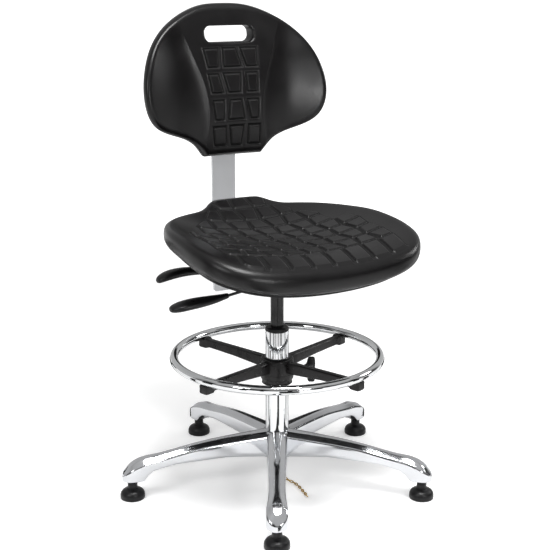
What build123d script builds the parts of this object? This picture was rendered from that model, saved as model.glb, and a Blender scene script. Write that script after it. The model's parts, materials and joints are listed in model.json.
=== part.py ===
from build123d import *
import math
import os

# Drafting chair with moulded foam seat and backrest, star base, foot ring and gas lift.
# Millimetres. Origin: centre of the lift column on the floor. +Z up, the sitter faces -Y.

os.makedirs("parts", exist_ok=True)

# ---------------------------------------------------------------- driving dimensions
glide_circle_r = 323.0      # radius of the circle of the five floor glides
glide_r = 26.0              # radius of a glide's sole
glide_h = 24.0              # height of a glide's mushroom head
glide_land = 8.0            # straight rim of the sole
stem_r = 5.0                # threaded stem of a glide
collar_r = 10.5             # collar between glide and arm
arm_end_z = 42.0            # underside of the arm's end boss
arm_w_hub = 44.0            # arm width at the hub
arm_w_end = 43.0            # arm width at the foot
first_arm = -30.0           # angle of the first arm, counted from -Y towards +X
hub_r = 33.0                # base hub
hub_z0, hub_z1 = 60.0, 116.0

column_r = 25.0             # fixed chrome column
column_wall = 2.5
column_z0, column_z1 = 64.0, 343.0
collar_top = 351.5          # top of the black guide collar
cyl_r = 14.0                # moving gas cylinder
cyl_wall = 2.5
cyl_z0, cyl_z1 = 150.0, 462.0
piston_rod_r = 5.0
piston_z0, piston_z1 = 322.0, 338.0

ring_r = 221.0              # foot ring centreline radius
ring_tube_r = 9.5
ring_wall = 2.0
ring_z = 286.0
foot_hub_r = 35.5
foot_hub_z0, foot_hub_z1 = 228.0, 281.0
bush_r = 28.0
spoke_first = 19.0          # angle of the first spoke
knob_angle = 64.0           # angle of the clamp knob, between two spokes
knob_z = 252.0

housing_w, housing_wall = 90.0, 3.0
housing_y0, housing_y1 = -64.0, 186.0
housing_z0, housing_z1 = 440.0, 472.0
plate_z1 = 477.0            # top of the seat plate
bolt_x, bolt_y0, bolt_y1 = 78.0, -80.0, 90.0
lever_x = -27.0             # both lever pins run across the chair here

bar_w, bar_t = 57.0, 6.5    # flat back bar
bar_y = 242.0               # centre of the bar's thickness
bar_z0, bar_z1 = 374.5, 812.0
pivot_y, pivot_z = 205.0, 462.0   # back angle pivot
guide_z0, guide_z1 = 432.0, 508.0

back_z0, back_z1 = 697.0, 1020.0
back_half = 220.0
slot_w, slot_h, slot_z = 116.0, 34.0, 955.5


def spoke_dir(a, r, z=0.0):
    """Point at radius r on the line at angle a, counted from -Y towards +X."""
    return (r * math.sin(math.radians(a)), -r * math.cos(math.radians(a)), z)


arm_angles = [first_arm + 72 * k for k in range(5)]
spoke_angles = [spoke_first + 90 * k for k in range(4)]
glide_spots = [spoke_dir(a, glide_circle_r) for a in arm_angles]

# ---------------------------------------------------------------- star base
# One arm, made along -Y: side profile extruded across, then trimmed to its tapered plan.
with BuildPart() as arm:
    with BuildSketch(Plane.YZ):
        with BuildLine():
            Spline((0, 118), (-100, 113.5), (-200, 104), (-270, 92.5), (-322, 78), (-346, 57))
            Line((-346, 57), (-346, arm_end_z))
            Line((-346, arm_end_z), (-301, arm_end_z))
            Spline((-301, arm_end_z), (-289, 57), (-232, 70), (-120, 72), (0, 62))
            Line((0, 62), (0, 118))
        make_face()
    extrude(amount=30, both=True)
    with BuildSketch(Plane.XY.offset(20)):
        with BuildLine():
            Polyline((-arm_w_hub / 2, 0), (-arm_w_end / 2 + 3.5, -190), (-arm_w_end / 2, -glide_circle_r))
            ThreePointArc((-arm_w_end / 2, -glide_circle_r), (0, -glide_circle_r - arm_w_end / 2),
                          (arm_w_end / 2, -glide_circle_r))
            Polyline((arm_w_end / 2, -glide_circle_r), (arm_w_end / 2 - 3.5, -190), (arm_w_hub / 2, 0),
                     (-arm_w_hub / 2, 0))
        make_face()
    extrude(amount=110, mode=Mode.INTERSECT)
    # sloping shoulders on both sides of the flat crest, along the whole arm
    shoulders = arm.edges().filter_by(lambda e: e.length > 180 and e.center().Z > 88)
    try:
        chamfer(shoulders, 9, 13)
    except Exception:
        print("arm shoulders left square")

with BuildPart() as base_casting:
    with BuildSketch(Plane.XY.offset(hub_z0)):
        Circle(hub_r + 6)
    extrude(amount=22)
    with BuildSketch(Plane.XY.offset(hub_z0)):
        Circle(hub_r)
    extrude(amount=hub_z1 - hub_z0)
    for a in arm_angles:
        add(arm.part.rotate(Axis.Z, a))
    # seat of the column, then the hollow under the hub and the glide stem holes
    with BuildSketch(Plane.XY.offset(column_z0)):
        Circle(column_r + 0.02)
    extrude(amount=80, mode=Mode.SUBTRACT)
    with BuildSketch(Plane.XY.offset(hub_z0 - 5)):
        Circle(17)
    extrude(amount=20, mode=Mode.SUBTRACT)
    with BuildSketch(Plane.XY.offset(arm_end_z - 1)):
        with Locations(*[(p[0], p[1]) for p in glide_spots]):
            Circle(stem_r + 0.03)
    extrude(amount=21, mode=Mode.SUBTRACT)
    try:
        chamfer(base_casting.edges().filter_by(GeomType.CIRCLE).group_by(Axis.Z)[-1], 1.5)
    except Exception:
        pass
base_casting.part.label = "base_casting"
export_step(base_casting.part, "parts/base_casting.step")

# Glides: mushroom feet, round sole with a short straight rim and a domed top.
with BuildPart() as glide_feet:
    for p in glide_spots:
        with BuildSketch(Plane(origin=(p[0], p[1], 0), x_dir=(1, 0, 0), z_dir=(0, -1, 0))):
            with BuildLine():
                Polyline((0, 0), (glide_r, 0), (glide_r, glide_land))
                ThreePointArc((glide_r, glide_land), (glide_r - 3.2, 16.5), (15, 21))
                Line((15, 21), (collar_r, glide_h))
                Polyline((collar_r, glide_h), (stem_r + 0.03, glide_h), (stem_r + 0.03, 8), (0, 8), (0, 0))
            make_face()
        revolve(axis=Axis((p[0], p[1], 0), (0, 0, 1)))
glide_feet.part.label = "glide_feet"
export_step(glide_feet.part, "parts/glide_feet.step")

with BuildPart() as glide_stems:
    with BuildSketch(Plane.XY.offset(8)):
        with Locations(*[(p[0], p[1]) for p in glide_spots]):
            Circle(stem_r)
    extrude(amount=arm_end_z + 20 - 8.5)
    chamfer(glide_stems.edges().group_by(Axis.Z)[-1], 0.8)
glide_stems.part.label = "glide_stems"
export_step(glide_stems.part, "parts/glide_stems.step")

with BuildPart() as glide_collars:
    with BuildSketch(Plane.XY.offset(glide_h)):
        with Locations(*[(p[0], p[1]) for p in glide_spots]):
            Circle(collar_r)
            Circle(stem_r + 0.03, mode=Mode.SUBTRACT)
    extrude(amount=arm_end_z - glide_h)
glide_collars.part.label = "glide_collars"
export_step(glide_collars.part, "parts/glide_collars.step")

# ---------------------------------------------------------------- fixed column and its inside
with BuildPart() as lift_column:
    with BuildSketch(Plane.XY.offset(column_z0)):
        Circle(column_r)
    extrude(amount=column_z1 - column_z0)
    with BuildSketch(Plane.XY.offset(column_z0 + 4)):
        Circle(column_r - column_wall)
    extrude(amount=300, mode=Mode.SUBTRACT)
    with BuildSketch(Plane.XY.offset(column_z0 - 1)):
        Circle(piston_rod_r + 0.03)
    extrude(amount=10, mode=Mode.SUBTRACT)
lift_column.part.label = "lift_column"
export_step(lift_column.part, "parts/lift_column.step")

with BuildPart() as column_guide:
    with BuildSketch(Plane.XZ):
        with BuildLine():
            Polyline((cyl_r + 0.05, 264), (column_r - column_wall - 0.02, 264),
                     (column_r - column_wall - 0.02, column_z1), (column_r + 0.6, column_z1),
                     (column_r + 0.6, collar_top - 2.5), (column_r - 2.5, collar_top),
                     (cyl_r + 0.05, collar_top), (cyl_r + 0.05, 264))
        make_face()
    revolve(axis=Axis.Z)
column_guide.part.label = "column_guide"
export_step(column_guide.part, "parts/column_guide.step")

with BuildPart() as piston_rod:
    with BuildSketch(Plane.XY.offset(54)):
        Circle(piston_rod_r)
    extrude(amount=piston_z0 - 54)
    with BuildSketch(Plane.XY.offset(57.5)):
        Circle(piston_rod_r + 1)
        Circle(piston_rod_r - 0.8, mode=Mode.SUBTRACT)
    extrude(amount=1.6, mode=Mode.SUBTRACT)
piston_rod.part.label = "piston_rod"
export_step(piston_rod.part, "parts/piston_rod.step")

with BuildPart() as piston_head:
    with BuildSketch(Plane.XY.offset(piston_z0)):
        Circle(cyl_r - cyl_wall - 0.06)
    extrude(amount=piston_z1 - piston_z0)
piston_head.part.label = "piston_head"
export_step(piston_head.part, "parts/piston_head.step")

with BuildPart() as retaining_clip:
    with BuildSketch(Plane.XY.offset(57.6)):
        Circle(9.5)
        Circle(piston_rod_r - 0.75, mode=Mode.SUBTRACT)
        with Locations((0, 8)):
            Rectangle(5.5, 16, mode=Mode.SUBTRACT)
    extrude(amount=1.4)
retaining_clip.part.label = "retaining_clip"
export_step(retaining_clip.part, "parts/retaining_clip.step")

with BuildPart() as thrust_washer:
    with BuildSketch(Plane.XY.offset(column_z0 + 4)):
        Circle(15)
        Circle(piston_rod_r + 0.1, mode=Mode.SUBTRACT)
    extrude(amount=5)
thrust_washer.part.label = "thrust_washer"
export_step(thrust_washer.part, "parts/thrust_washer.step")

with BuildPart() as base_washer:
    with BuildSketch(Plane.XY.offset(59.0)):
        Circle(13)
        Circle(piston_rod_r + 0.1, mode=Mode.SUBTRACT)
    extrude(amount=column_z0 - 59.0)
base_washer.part.label = "base_washer"
export_step(base_washer.part, "parts/base_washer.step")

# ---------------------------------------------------------------- earthing chain under the hub
chain_d = 7.0
chain_route = [(0, 0, 48.5), (0.5, -0.5, 26), (8, -19.5, 3.6), (17, -49, 3.6), (13, -83, 3.6), (5.5, -117, 3.6)]

with BuildPart() as chain_anchor:
    # eye screw in the end of the piston rod: a round stub and a small ring
    with BuildSketch(Plane.XY.offset(48.5)):
        Circle(5.2)
    extrude(amount=5.5)
chain_anchor.part.label = "chain_anchor"
export_step(chain_anchor.part, "parts/chain_anchor.step")


def chain_radii(points):
    """One bend radius for each inner point, 0.45 of the shorter run over the tangent of half the turn."""
    radii = []
    for i in range(1, len(points) - 1):
        a = Vector(*points[i]) - Vector(*points[i - 1])
        b = Vector(*points[i + 1]) - Vector(*points[i])
        turn = math.radians(a.get_angle(b))
        radii.append(0.45 * min(a.length, b.length) / math.tan(turn / 2))
    return radii


print("chain bend radii", [round(r, 1) for r in chain_radii(chain_route)])
with BuildPart() as ground_chain:
    with BuildLine() as chain_line:
        FilletPolyline(*chain_route, radius=chain_radii(chain_route))
    with BuildSketch(Plane(origin=chain_route[0], z_dir=(0, 0, -1))):
        Circle(chain_d / 2)
    sweep()
chain_length = chain_line.wire().length
print("chain length", round(chain_length, 1),
      "volume ratio", round(ground_chain.part.volume / (math.pi * chain_d ** 2 / 4 * chain_length), 3))
ground_chain.part.label = "ground_chain"
export_step(ground_chain.part, "parts/ground_chain.step")

# ---------------------------------------------------------------- foot ring
with BuildPart() as footring_bush:
    with BuildSketch(Plane.XZ):
        with BuildLine():
            Polyline((column_r + 0.05, foot_hub_z0 - 3), (bush_r + 5, foot_hub_z0 - 3), (bush_r + 5, foot_hub_z0 - 0.3),
                     (bush_r, foot_hub_z0 - 0.3), (bush_r, foot_hub_z1 + 3), (column_r + 0.05, foot_hub_z1 + 3),
                     (column_r + 0.05, foot_hub_z0 - 3))
        make_face()
    revolve(axis=Axis.Z)
    # expansion slit opposite the clamp knob
    with BuildSketch(Plane(origin=(0, 0, foot_hub_z0 - 5), x_dir=spoke_dir(knob_angle + 180, 1), z_dir=(0, 0, 1))):
        with Locations((30, 0)):
            Rectangle(20, 2.0)
    extrude(amount=70, mode=Mode.SUBTRACT)
footring_bush.part.label = "footring_bush"
export_step(footring_bush.part, "parts/footring_bush.step")

# One spoke along -Y: deep at the hub, shallower outwards, with a saddle block under the ring.
with BuildPart() as spoke:
    with BuildSketch(Plane.YZ):
        with BuildLine():
            Polyline((-30, 252), (-30, 278), (-150, 279.5), (-198, 279.5), (-206, 286), (-ring_r, 286),
                     (-ring_r - 5, 284), (-ring_r - 6.5, 276), (-ring_r - 6, 267), (-ring_r, 262), (-196, 262),
                     (-120, 260), (-30, 252))
        make_face()
    extrude(amount=8, both=True)
    with BuildSketch(Plane.XY.offset(259)):
        with Locations((0, -ring_r + 4.5)):
            RectangleRounded(22, 22, 4)
    extrude(amount=21)
    with BuildSketch(Plane.XZ.offset(ring_r)):
        with Locations((0, ring_z)):
            Circle(ring_tube_r + 0.03)
    revolve(axis=Axis.Z, mode=Mode.PRIVATE)

with BuildPart() as footring_hub:
    with BuildSketch(Plane.XY.offset(foot_hub_z0)):
        Circle(foot_hub_r - 3)
    extrude(amount=8)
    with BuildSketch(Plane.XY.offset(foot_hub_z0 + 7)):
        Circle(foot_hub_r)
    extrude(amount=foot_hub_z1 - foot_hub_z0 - 7)
    for a in spoke_angles:
        add(spoke.part.rotate(Axis.Z, a))
    # boss for the clamp stud
    with BuildSketch(Plane(origin=spoke_dir(knob_angle, 30, knob_z), z_dir=spoke_dir(knob_angle, 1))):
        Circle(9)
    extrude(amount=11)
    with BuildSketch(Plane.XY.offset(foot_hub_z0 - 5)):
        Circle(bush_r + 0.05)
    extrude(amount=80, mode=Mode.SUBTRACT)
    with BuildSketch(Plane(origin=spoke_dir(knob_angle, 20, knob_z), z_dir=spoke_dir(knob_angle, 1))):
        Circle(4.05)
    extrude(amount=30, mode=Mode.SUBTRACT)
    # groove for the ring in the four saddles
    with BuildSketch(Plane.XZ):
        with Locations((ring_r, ring_z)):
            Circle(ring_tube_r + 0.03)
    revolve(axis=Axis.Z, mode=Mode.SUBTRACT)
    with BuildSketch(Plane.XY.offset(255)):
        with Locations(*[spoke_dir(a, ring_r)[:2] for a in spoke_angles]):
            Circle(2.6)
    extrude(amount=25, mode=Mode.SUBTRACT)
    with BuildSketch(Plane.XY.offset(255)):
        with Locations(*[spoke_dir(a, ring_r)[:2] for a in spoke_angles]):
            Circle(5.0)
    extrude(amount=11.5, mode=Mode.SUBTRACT)
footring_hub.part.label = "footring_hub"
export_step(footring_hub.part, "parts/footring_hub.step")

with BuildPart() as footring:
    with BuildSketch(Plane.XZ):
        with Locations((ring_r, ring_z)):
            Circle(ring_tube_r)
            Circle(ring_tube_r - ring_wall, mode=Mode.SUBTRACT)
    revolve(axis=Axis.Z)
    with BuildSketch(Plane.XY.offset(270)):
        with Locations(*[spoke_dir(a, ring_r)[:2] for a in spoke_angles]):
            Circle(2.6)
    extrude(amount=12, mode=Mode.SUBTRACT)
footring.part.label = "footring"
export_step(footring.part, "parts/footring.step")

with BuildPart() as ring_screws:
    with BuildSketch(Plane.XY.offset(263)):
        with Locations(*[spoke_dir(a, ring_r)[:2] for a in spoke_angles]):
            Circle(4.8)
    extrude(amount=3.5)
    with BuildSketch(Plane.XY.offset(266)):
        with Locations(*[spoke_dir(a, ring_r)[:2] for a in spoke_angles]):
            Circle(2.55)
    extrude(amount=15)
ring_screws.part.label = "ring_screws"
export_step(ring_screws.part, "parts/ring_screws.step")

# Clamp knob of the foot ring: stud and two-winged handle on a radial axis.
knob_out = spoke_dir(knob_angle, 1)
with BuildPart() as clamp_stud:
    with BuildSketch(Plane(origin=spoke_dir(knob_angle, bush_r + 0.4, knob_z), z_dir=knob_out)):
        Circle(4.0)
    extrude(amount=40)
clamp_stud.part.label = "clamp_stud"
export_step(clamp_stud.part, "parts/clamp_stud.step")

with BuildPart() as clamp_knob:
    with BuildSketch(Plane(origin=spoke_dir(knob_angle, 50, knob_z), x_dir=(0, 0, 1), z_dir=knob_out)):
        Circle(9.5)
    extrude(amount=26)
    with BuildSketch(Plane(origin=spoke_dir(knob_angle, 64, knob_z), x_dir=(0, 0, 1), z_dir=knob_out)):
        SlotOverall(57, 12)
    extrude(amount=19)
    with BuildSketch(Plane(origin=spoke_dir(knob_angle, 47, knob_z), x_dir=(0, 0, 1), z_dir=knob_out)):
        Circle(4.03)
    extrude(amount=22, mode=Mode.SUBTRACT)
clamp_knob.part.label = "clamp_knob"
export_step(clamp_knob.part, "parts/clamp_knob.step")

# ---------------------------------------------------------------- gas lift, moving part
with BuildPart() as gas_cylinder:
    with BuildSketch(Plane.XY.offset(cyl_z0)):
        Circle(cyl_r)
    extrude(amount=cyl_z1 - cyl_z0)
    with BuildSketch(Plane.XY.offset(cyl_z0)):
        Circle(cyl_r - cyl_wall)
    extrude(amount=290, mode=Mode.SUBTRACT)
    with BuildSketch(Plane.XY.offset(430)):
        Circle(3.05)
    extrude(amount=60, mode=Mode.SUBTRACT)
    chamfer(gas_cylinder.edges().group_by(Axis.Z)[-1], 0.8)
gas_cylinder.part.label = "gas_cylinder"
export_step(gas_cylinder.part, "parts/gas_cylinder.step")

with BuildPart() as rod_seal:
    with BuildSketch(Plane.XY.offset(cyl_z0 + 1)):
        Circle(cyl_r - cyl_wall)
        Circle(piston_rod_r + 0.05, mode=Mode.SUBTRACT)
    extrude(amount=12)
rod_seal.part.label = "rod_seal"
export_step(rod_seal.part, "parts/rod_seal.step")

with BuildPart() as valve_pin:
    with BuildSketch(Plane.XY.offset(444)):
        Circle(3.0)
    extrude(amount=20.0)
valve_pin.part.label = "valve_pin"
export_step(valve_pin.part, "parts/valve_pin.step")

# ---------------------------------------------------------------- seat mechanism
with BuildPart() as taper_socket:
    with BuildSketch(Plane.XY.offset(422)):
        Circle(19)
    extrude(amount=40)
    with BuildSketch(Plane.XY.offset(420)):
        Circle(cyl_r + 0.05)
    extrude(amount=60, mode=Mode.SUBTRACT)
    chamfer(taper_socket.edges().group_by(Axis.Z)[0], 1)
taper_socket.part.label = "taper_socket"
export_step(taper_socket.part, "parts/taper_socket.step")

with BuildPart() as mech_housing:
    # pressed steel channel, open towards the seat plate
    with BuildSketch(Plane.XY.offset(housing_z0)):
        with Locations((0, (housing_y0 + housing_y1) / 2)):
            RectangleRounded(housing_w, housing_y1 - housing_y0, 8)
    extrude(amount=housing_z1 - housing_z0)
    with BuildSketch(Plane.XY.offset(housing_z0 + housing_wall)):
        with Locations((0, (housing_y0 + housing_y1) / 2)):
            RectangleRounded(housing_w - 2 * housing_wall, housing_y1 - housing_y0 - 2 * housing_wall, 5)
    extrude(amount=60, mode=Mode.SUBTRACT)
    with BuildSketch(Plane.XY.offset(housing_z0 - 1)):
        Circle(19.02)
    extrude(amount=10, mode=Mode.SUBTRACT)
    # slots for the two lever rods in the left wall
    with BuildSketch(Plane.YZ.offset(-housing_w / 2 - 5)):
        with Locations((-34, 458)):
            Rectangle(52, 27)
        with Locations((80, 458)):
            Rectangle(22, 27)
    extrude(amount=15, mode=Mode.SUBTRACT)
    # rear ears that hold the back angle pivot
    with BuildSketch(Plane.YZ.offset(-39)):
        with BuildLine():
            Polyline((170, 446), (pivot_y + 4, 446), (pivot_y + 13, 455), (pivot_y + 13, 470), (pivot_y + 6, 477),
                     (170, 477), (170, 446))
        make_face()
    extrude(amount=4)
    with BuildSketch(Plane.YZ.offset(35)):
        with BuildLine():
            Polyline((170, 446), (pivot_y + 4, 446), (pivot_y + 13, 455), (pivot_y + 13, 470), (pivot_y + 6, 477),
                     (170, 477), (170, 446))
        make_face()
    extrude(amount=4)
    with BuildSketch(Plane.YZ.offset(-60)):
        with Locations((pivot_y, pivot_z)):
            Circle(5.0)
    extrude(amount=120, mode=Mode.SUBTRACT)
    # clear the seat plate's seating plane and its front part
    with BuildSketch(Plane.XY.offset(housing_z1)):
        with Locations((0, 0)):
            Rectangle(200, 340)
    extrude(amount=10, mode=Mode.SUBTRACT)
mech_housing.part.label = "mech_housing"
export_step(mech_housing.part, "parts/mech_housing.step")

with BuildPart() as seat_plate:
    with BuildSketch(Plane.XY.offset(housing_z1)):
        with Locations((0, 5)):
            RectangleRounded(190, 215, 14)
    extrude(amount=plate_z1 - housing_z1)
    with BuildSketch(Plane.XY.offset(housing_z1 - 1)):
        with Locations((-bolt_x, bolt_y0), (bolt_x, bolt_y0), (-bolt_x, bolt_y1), (bolt_x, bolt_y1)):
            Circle(4.2)
    extrude(amount=10, mode=Mode.SUBTRACT)
seat_plate.part.label = "seat_plate"
export_step(seat_plate.part, "parts/seat_plate.step")

with BuildPart() as lever_brackets:
    # two small forks under the seat plate carry the lever pins
    for y in (-12.0, 7.5, 68.0, 87.5):
        with BuildSketch(Plane.XZ.offset(-y)):
            with Locations((lever_x, 466)):
                Rectangle(12, 12)
        extrude(amount=-4.5)
    with BuildSketch(Plane.XZ.offset(-120)):
        with Locations((lever_x, 466.5)):
            Circle(2.5)
    extrude(amount=160, mode=Mode.SUBTRACT)
lever_brackets.part.label = "lever_brackets"
export_step(lever_brackets.part, "parts/lever_brackets.step")

with BuildPart() as lever_pins:
    for y in (0, 80):
        with BuildSketch(Plane.XZ.offset(-y - 14)):
            with Locations((lever_x, 466.5)):
                Circle(2.5)
        extrude(amount=28)
lever_pins.part.label = "lever_pins"
export_step(lever_pins.part, "parts/lever_pins.step")

with BuildPart() as friction_plates:
    # stack of thin locking plates inside the rear of the housing
    for k in range(5):
        with BuildSketch(Plane.YZ.offset(-11 + 5 * k)):
            with Locations((142, 455)):
                RectangleRounded(66, 20, 4)
        extrude(amount=2)
    with BuildSketch(Plane.YZ.offset(-16)):
        with Locations((150, 455)):
            Circle(4)
    extrude(amount=32)
friction_plates.part.label = "friction_plates"
export_step(friction_plates.part, "parts/friction_plates.step")

with BuildPart() as seat_bolts:
    with BuildSketch(Plane.XY.offset(housing_z1 - 5)):
        with Locations((-bolt_x, bolt_y0), (bolt_x, bolt_y0), (-bolt_x, bolt_y1), (bolt_x, bolt_y1)):
            RegularPolygon(7.5, 6)
    extrude(amount=5)
    with BuildSketch(Plane.XY.offset(housing_z1)):
        with Locations((-bolt_x, bolt_y0), (bolt_x, bolt_y0), (-bolt_x, bolt_y1), (bolt_x, bolt_y1)):
            Circle(4.0)
    extrude(amount=19)
seat_bolts.part.label = "seat_bolts"
export_step(seat_bolts.part, "parts/seat_bolts.step")

# ---------------------------------------------------------------- seat: dished moulded cushion on a pan
seat_half = [(0, 200), (50, 198), (68, 191), (86, 177), (109, 164), (151, 149), (186, 129), (214, 98),
             (234, 55), (248, 4), (254, -60), (253, -120), (241, -174), (208, -215), (161, -237), (90, -248), (0, -251)]
seat_rows = [(-257, 528, 538, 482, 512), (-200, 541, 561, 484, 523), (-120, 545, 579, 487, 531), (0, 546, 594, 489, 547),
             (100, 562, 602, 492, 554), (160, 588, 609, 506, 559), (208, 613, 619, 542, 570)]


def seat_outline(shrink):
    """The whole closed outline, pulled towards the middle by shrink."""
    pts = []
    for x, y in seat_half + [(-x, y) for x, y in reversed(seat_half[1:-1])]:
        r = math.hypot(x, y)
        pts.append((x * (r - shrink) / r, y * (r - shrink) / r))
    return pts


def dish_section(y, top_mid, top_edge, low_mid, low_edge):
    """Closed section across the seat at y: two shallow arcs joined by short sides."""
    with BuildSketch(Plane.XZ.offset(-y)) as sk:
        with BuildLine():
            ThreePointArc((-262, low_edge), (0, low_mid), (262, low_edge))
            Line((262, low_edge), (262, top_edge))
            ThreePointArc((262, top_edge), (0, top_mid), (-262, top_edge))
            Line((-262, top_edge), (-262, low_edge))
        make_face()
    return sk.sketch


seat_sections = [dish_section(*row) for row in seat_rows]
with BuildPart() as seat_cushion:
    loft(sections=seat_sections)
    with BuildSketch(Plane.XY.offset(470)):
        with BuildLine():
            Spline(*seat_outline(0), periodic=True)
        make_face()
    extrude(amount=160, mode=Mode.INTERSECT)
seat_body = seat_cushion.part
for radius in (14, 11, 8, 5):
    try:
        rim = seat_body.edges().filter_by(lambda e: e.length > 150)
        rounded = seat_body.fillet(radius, rim)
        if rounded.is_valid and rounded.volume > 0.8 * seat_body.volume:
            seat_body = rounded
            print("seat rim radius", radius)
            break
    except Exception:
        pass
seat_body.label = "seat_cushion"
export_step(seat_body, "parts/seat_cushion.step")

pan_sections = [dish_section(y, lo_m + 4, lo_e + 4, lo_m - 8, lo_e - 8) for y, t_m, t_e, lo_m, lo_e in seat_rows]
with BuildPart() as seat_pan:
    loft(sections=pan_sections)
    with BuildSketch(Plane.XY.offset(450)):
        with BuildLine():
            Spline(*seat_outline(30), periodic=True)
        make_face()
    extrude(amount=160, mode=Mode.INTERSECT)
    with BuildSketch(Plane.XY.offset(plate_z1)):
        with Locations((-bolt_x, bolt_y0), (bolt_x, bolt_y0), (-bolt_x, bolt_y1), (bolt_x, bolt_y1)):
            Circle(13)
    extrude(amount=16)
    # flat seat for the mechanism plate
    with BuildSketch(Plane.XY.offset(440)):
        with Locations((0, 5)):
            RectangleRounded(196, 221, 16)
    extrude(amount=plate_z1 - 440, mode=Mode.SUBTRACT)
    add(seat_cushion.part, mode=Mode.SUBTRACT)
    with BuildSketch(Plane.XY.offset(440)):
        with Locations((-bolt_x, bolt_y0), (bolt_x, bolt_y0), (-bolt_x, bolt_y1), (bolt_x, bolt_y1)):
            Circle(4.05)
    extrude(amount=60, mode=Mode.SUBTRACT)
seat_pan.part.label = "seat_pan"
export_step(seat_pan.part, "parts/seat_pan.step")

# ---------------------------------------------------------------- levers
with BuildPart() as height_rod:
    with BuildLine() as hr:
        FilletPolyline((6, 0, 467.5), (-34, 0, 467.5), (-62, -50, 462), (-104, -56, 458.5), (-168, -56, 449.5), radius=8)
    with BuildSketch(Plane(origin=(6, 0, 467.5), z_dir=(-1, 0, 0))):
        Circle(3.0)
    sweep()
    with BuildSketch(Plane.XZ.offset(-6)):
        with Locations((lever_x, 466.5)):
            Circle(5.0)
    extrude(amount=12)
    with BuildSketch(Plane.XZ.offset(-20)):
        with Locations((lever_x, 466.5)):
            Circle(2.55)
    extrude(amount=40, mode=Mode.SUBTRACT)
height_rod.part.label = "height_rod"
export_step(height_rod.part, "parts/height_rod.step")

with BuildPart() as height_grip:
    # broad flat paddle on the end of the rod
    with BuildSketch(Plane(origin=(-146, -56, 452.6), x_dir=(0, 1, 0), z_dir=(-64, 0, -9))):
        Ellipse(7, 5.5)
    with BuildSketch(Plane(origin=(-172, -56, 449.5), x_dir=(0, 1, 0), z_dir=(-64, 0, -9))):
        Ellipse(12, 7)
    with BuildSketch(Plane(origin=(-212, -54, 446), x_dir=(0, 1, 0), z_dir=(-64, 0, -9))):
        Ellipse(21, 9)
    with BuildSketch(Plane(origin=(-246, -51, 442.5), x_dir=(0, 1, 0), z_dir=(-64, 0, -9))):
        Ellipse(21, 8.5)
    with BuildSketch(Plane(origin=(-271, -49, 438), x_dir=(0, 1, 0), z_dir=(-64, 0, -9))):
        Ellipse(12, 6)
    loft()
    add(height_rod.part, mode=Mode.SUBTRACT)
height_grip.part.label = "height_grip"
export_step(height_grip.part, "parts/height_grip.step")

with BuildPart() as tilt_rod:
    with BuildLine() as tr:
        FilletPolyline((4, 80, 466.5), (-60, 80, 466.5), (-104, 79, 467.5), (-150, 78, 472.5), radius=20)
    with BuildSketch(Plane(origin=(4, 80, 466.5), z_dir=(-1, 0, 0))):
        Circle(3.0)
    sweep()
    with BuildSketch(Plane.XZ.offset(-86)):
        with Locations((lever_x, 466.5)):
            Circle(5.0)
    extrude(amount=12)
    with BuildSketch(Plane.XZ.offset(-100)):
        with Locations((lever_x, 466.5)):
            Circle(2.55)
    extrude(amount=40, mode=Mode.SUBTRACT)
tilt_rod.part.label = "tilt_rod"
export_step(tilt_rod.part, "parts/tilt_rod.step")

with BuildPart() as tilt_grip:
    with BuildSketch(Plane(origin=(-106, 79, 468.5), x_dir=(0, 1, 0), z_dir=(-1, 0, 0))):
        Ellipse(8, 5.5)
    with BuildSketch(Plane(origin=(-140, 78.5, 473), x_dir=(0, 1, 0), z_dir=(-1, 0, 0.05))):
        Ellipse(13, 7)
    with BuildSketch(Plane(origin=(-180, 78, 475.5), x_dir=(0, 1, 0), z_dir=(-1, 0, -0.05))):
        Ellipse(17, 9)
    with BuildSketch(Plane(origin=(-218, 77, 473.5), x_dir=(0, 1, 0), z_dir=(-1, 0, -0.25))):
        Ellipse(18, 9)
    with BuildSketch(Plane(origin=(-243, 76, 465), x_dir=(0, 1, 0), z_dir=(-1, 0, -0.4))):
        Ellipse(12, 6)
    loft()
    add(tilt_rod.part, mode=Mode.SUBTRACT)
tilt_grip.part.label = "tilt_grip"
export_step(tilt_grip.part, "parts/tilt_grip.step")

# ---------------------------------------------------------------- back carrier: pivot tube, arm and bar guide
with BuildPart() as pivot_tube:
    with BuildSketch(Plane.YZ.offset(-34.7)):
        with Locations((pivot_y, pivot_z)):
            Circle(9)
            Circle(5.05, mode=Mode.SUBTRACT)
    extrude(amount=69.4)
pivot_tube.part.label = "pivot_tube"
export_step(pivot_tube.part, "parts/pivot_tube.step")

with BuildPart() as pivot_pin:
    with BuildSketch(Plane.YZ.offset(-46)):
        with Locations((pivot_y, pivot_z)):
            Circle(5.0)
    extrude(amount=92)
pivot_pin.part.label = "pivot_pin"
export_step(pivot_pin.part, "parts/pivot_pin.step")

with BuildPart() as back_arm:
    with BuildSketch(Plane.YZ.offset(-24)):
        with BuildLine():
            Polyline((pivot_y + 6, pivot_z - 14), (bar_y - 8, 438), (bar_y - 8, 500), (pivot_y + 6, pivot_z + 11),
                     (pivot_y + 6, pivot_z - 14))
        make_face()
    extrude(amount=48)
    with BuildSketch(Plane.YZ.offset(-30)):
        with Locations((pivot_y, pivot_z)):
            Circle(9.02)
    extrude(amount=60, mode=Mode.SUBTRACT)
back_arm.part.label = "back_arm"
export_step(back_arm.part, "parts/back_arm.step")

with BuildPart() as bar_guide:
    with BuildSketch(Plane.XY.offset(guide_z0)):
        with Locations((0, bar_y)):
            RectangleRounded(bar_w + 12, 16, 3)
            Rectangle(bar_w + 4, bar_t + 3, mode=Mode.SUBTRACT)
    extrude(amount=guide_z1 - guide_z0)
    with BuildSketch(Plane.XZ.offset(-bar_y - 2)):
        with Locations((0, 470)):
            Circle(4.05)
    extrude(amount=-12, mode=Mode.SUBTRACT)
bar_guide.part.label = "bar_guide"
export_step(bar_guide.part, "parts/bar_guide.step")

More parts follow.
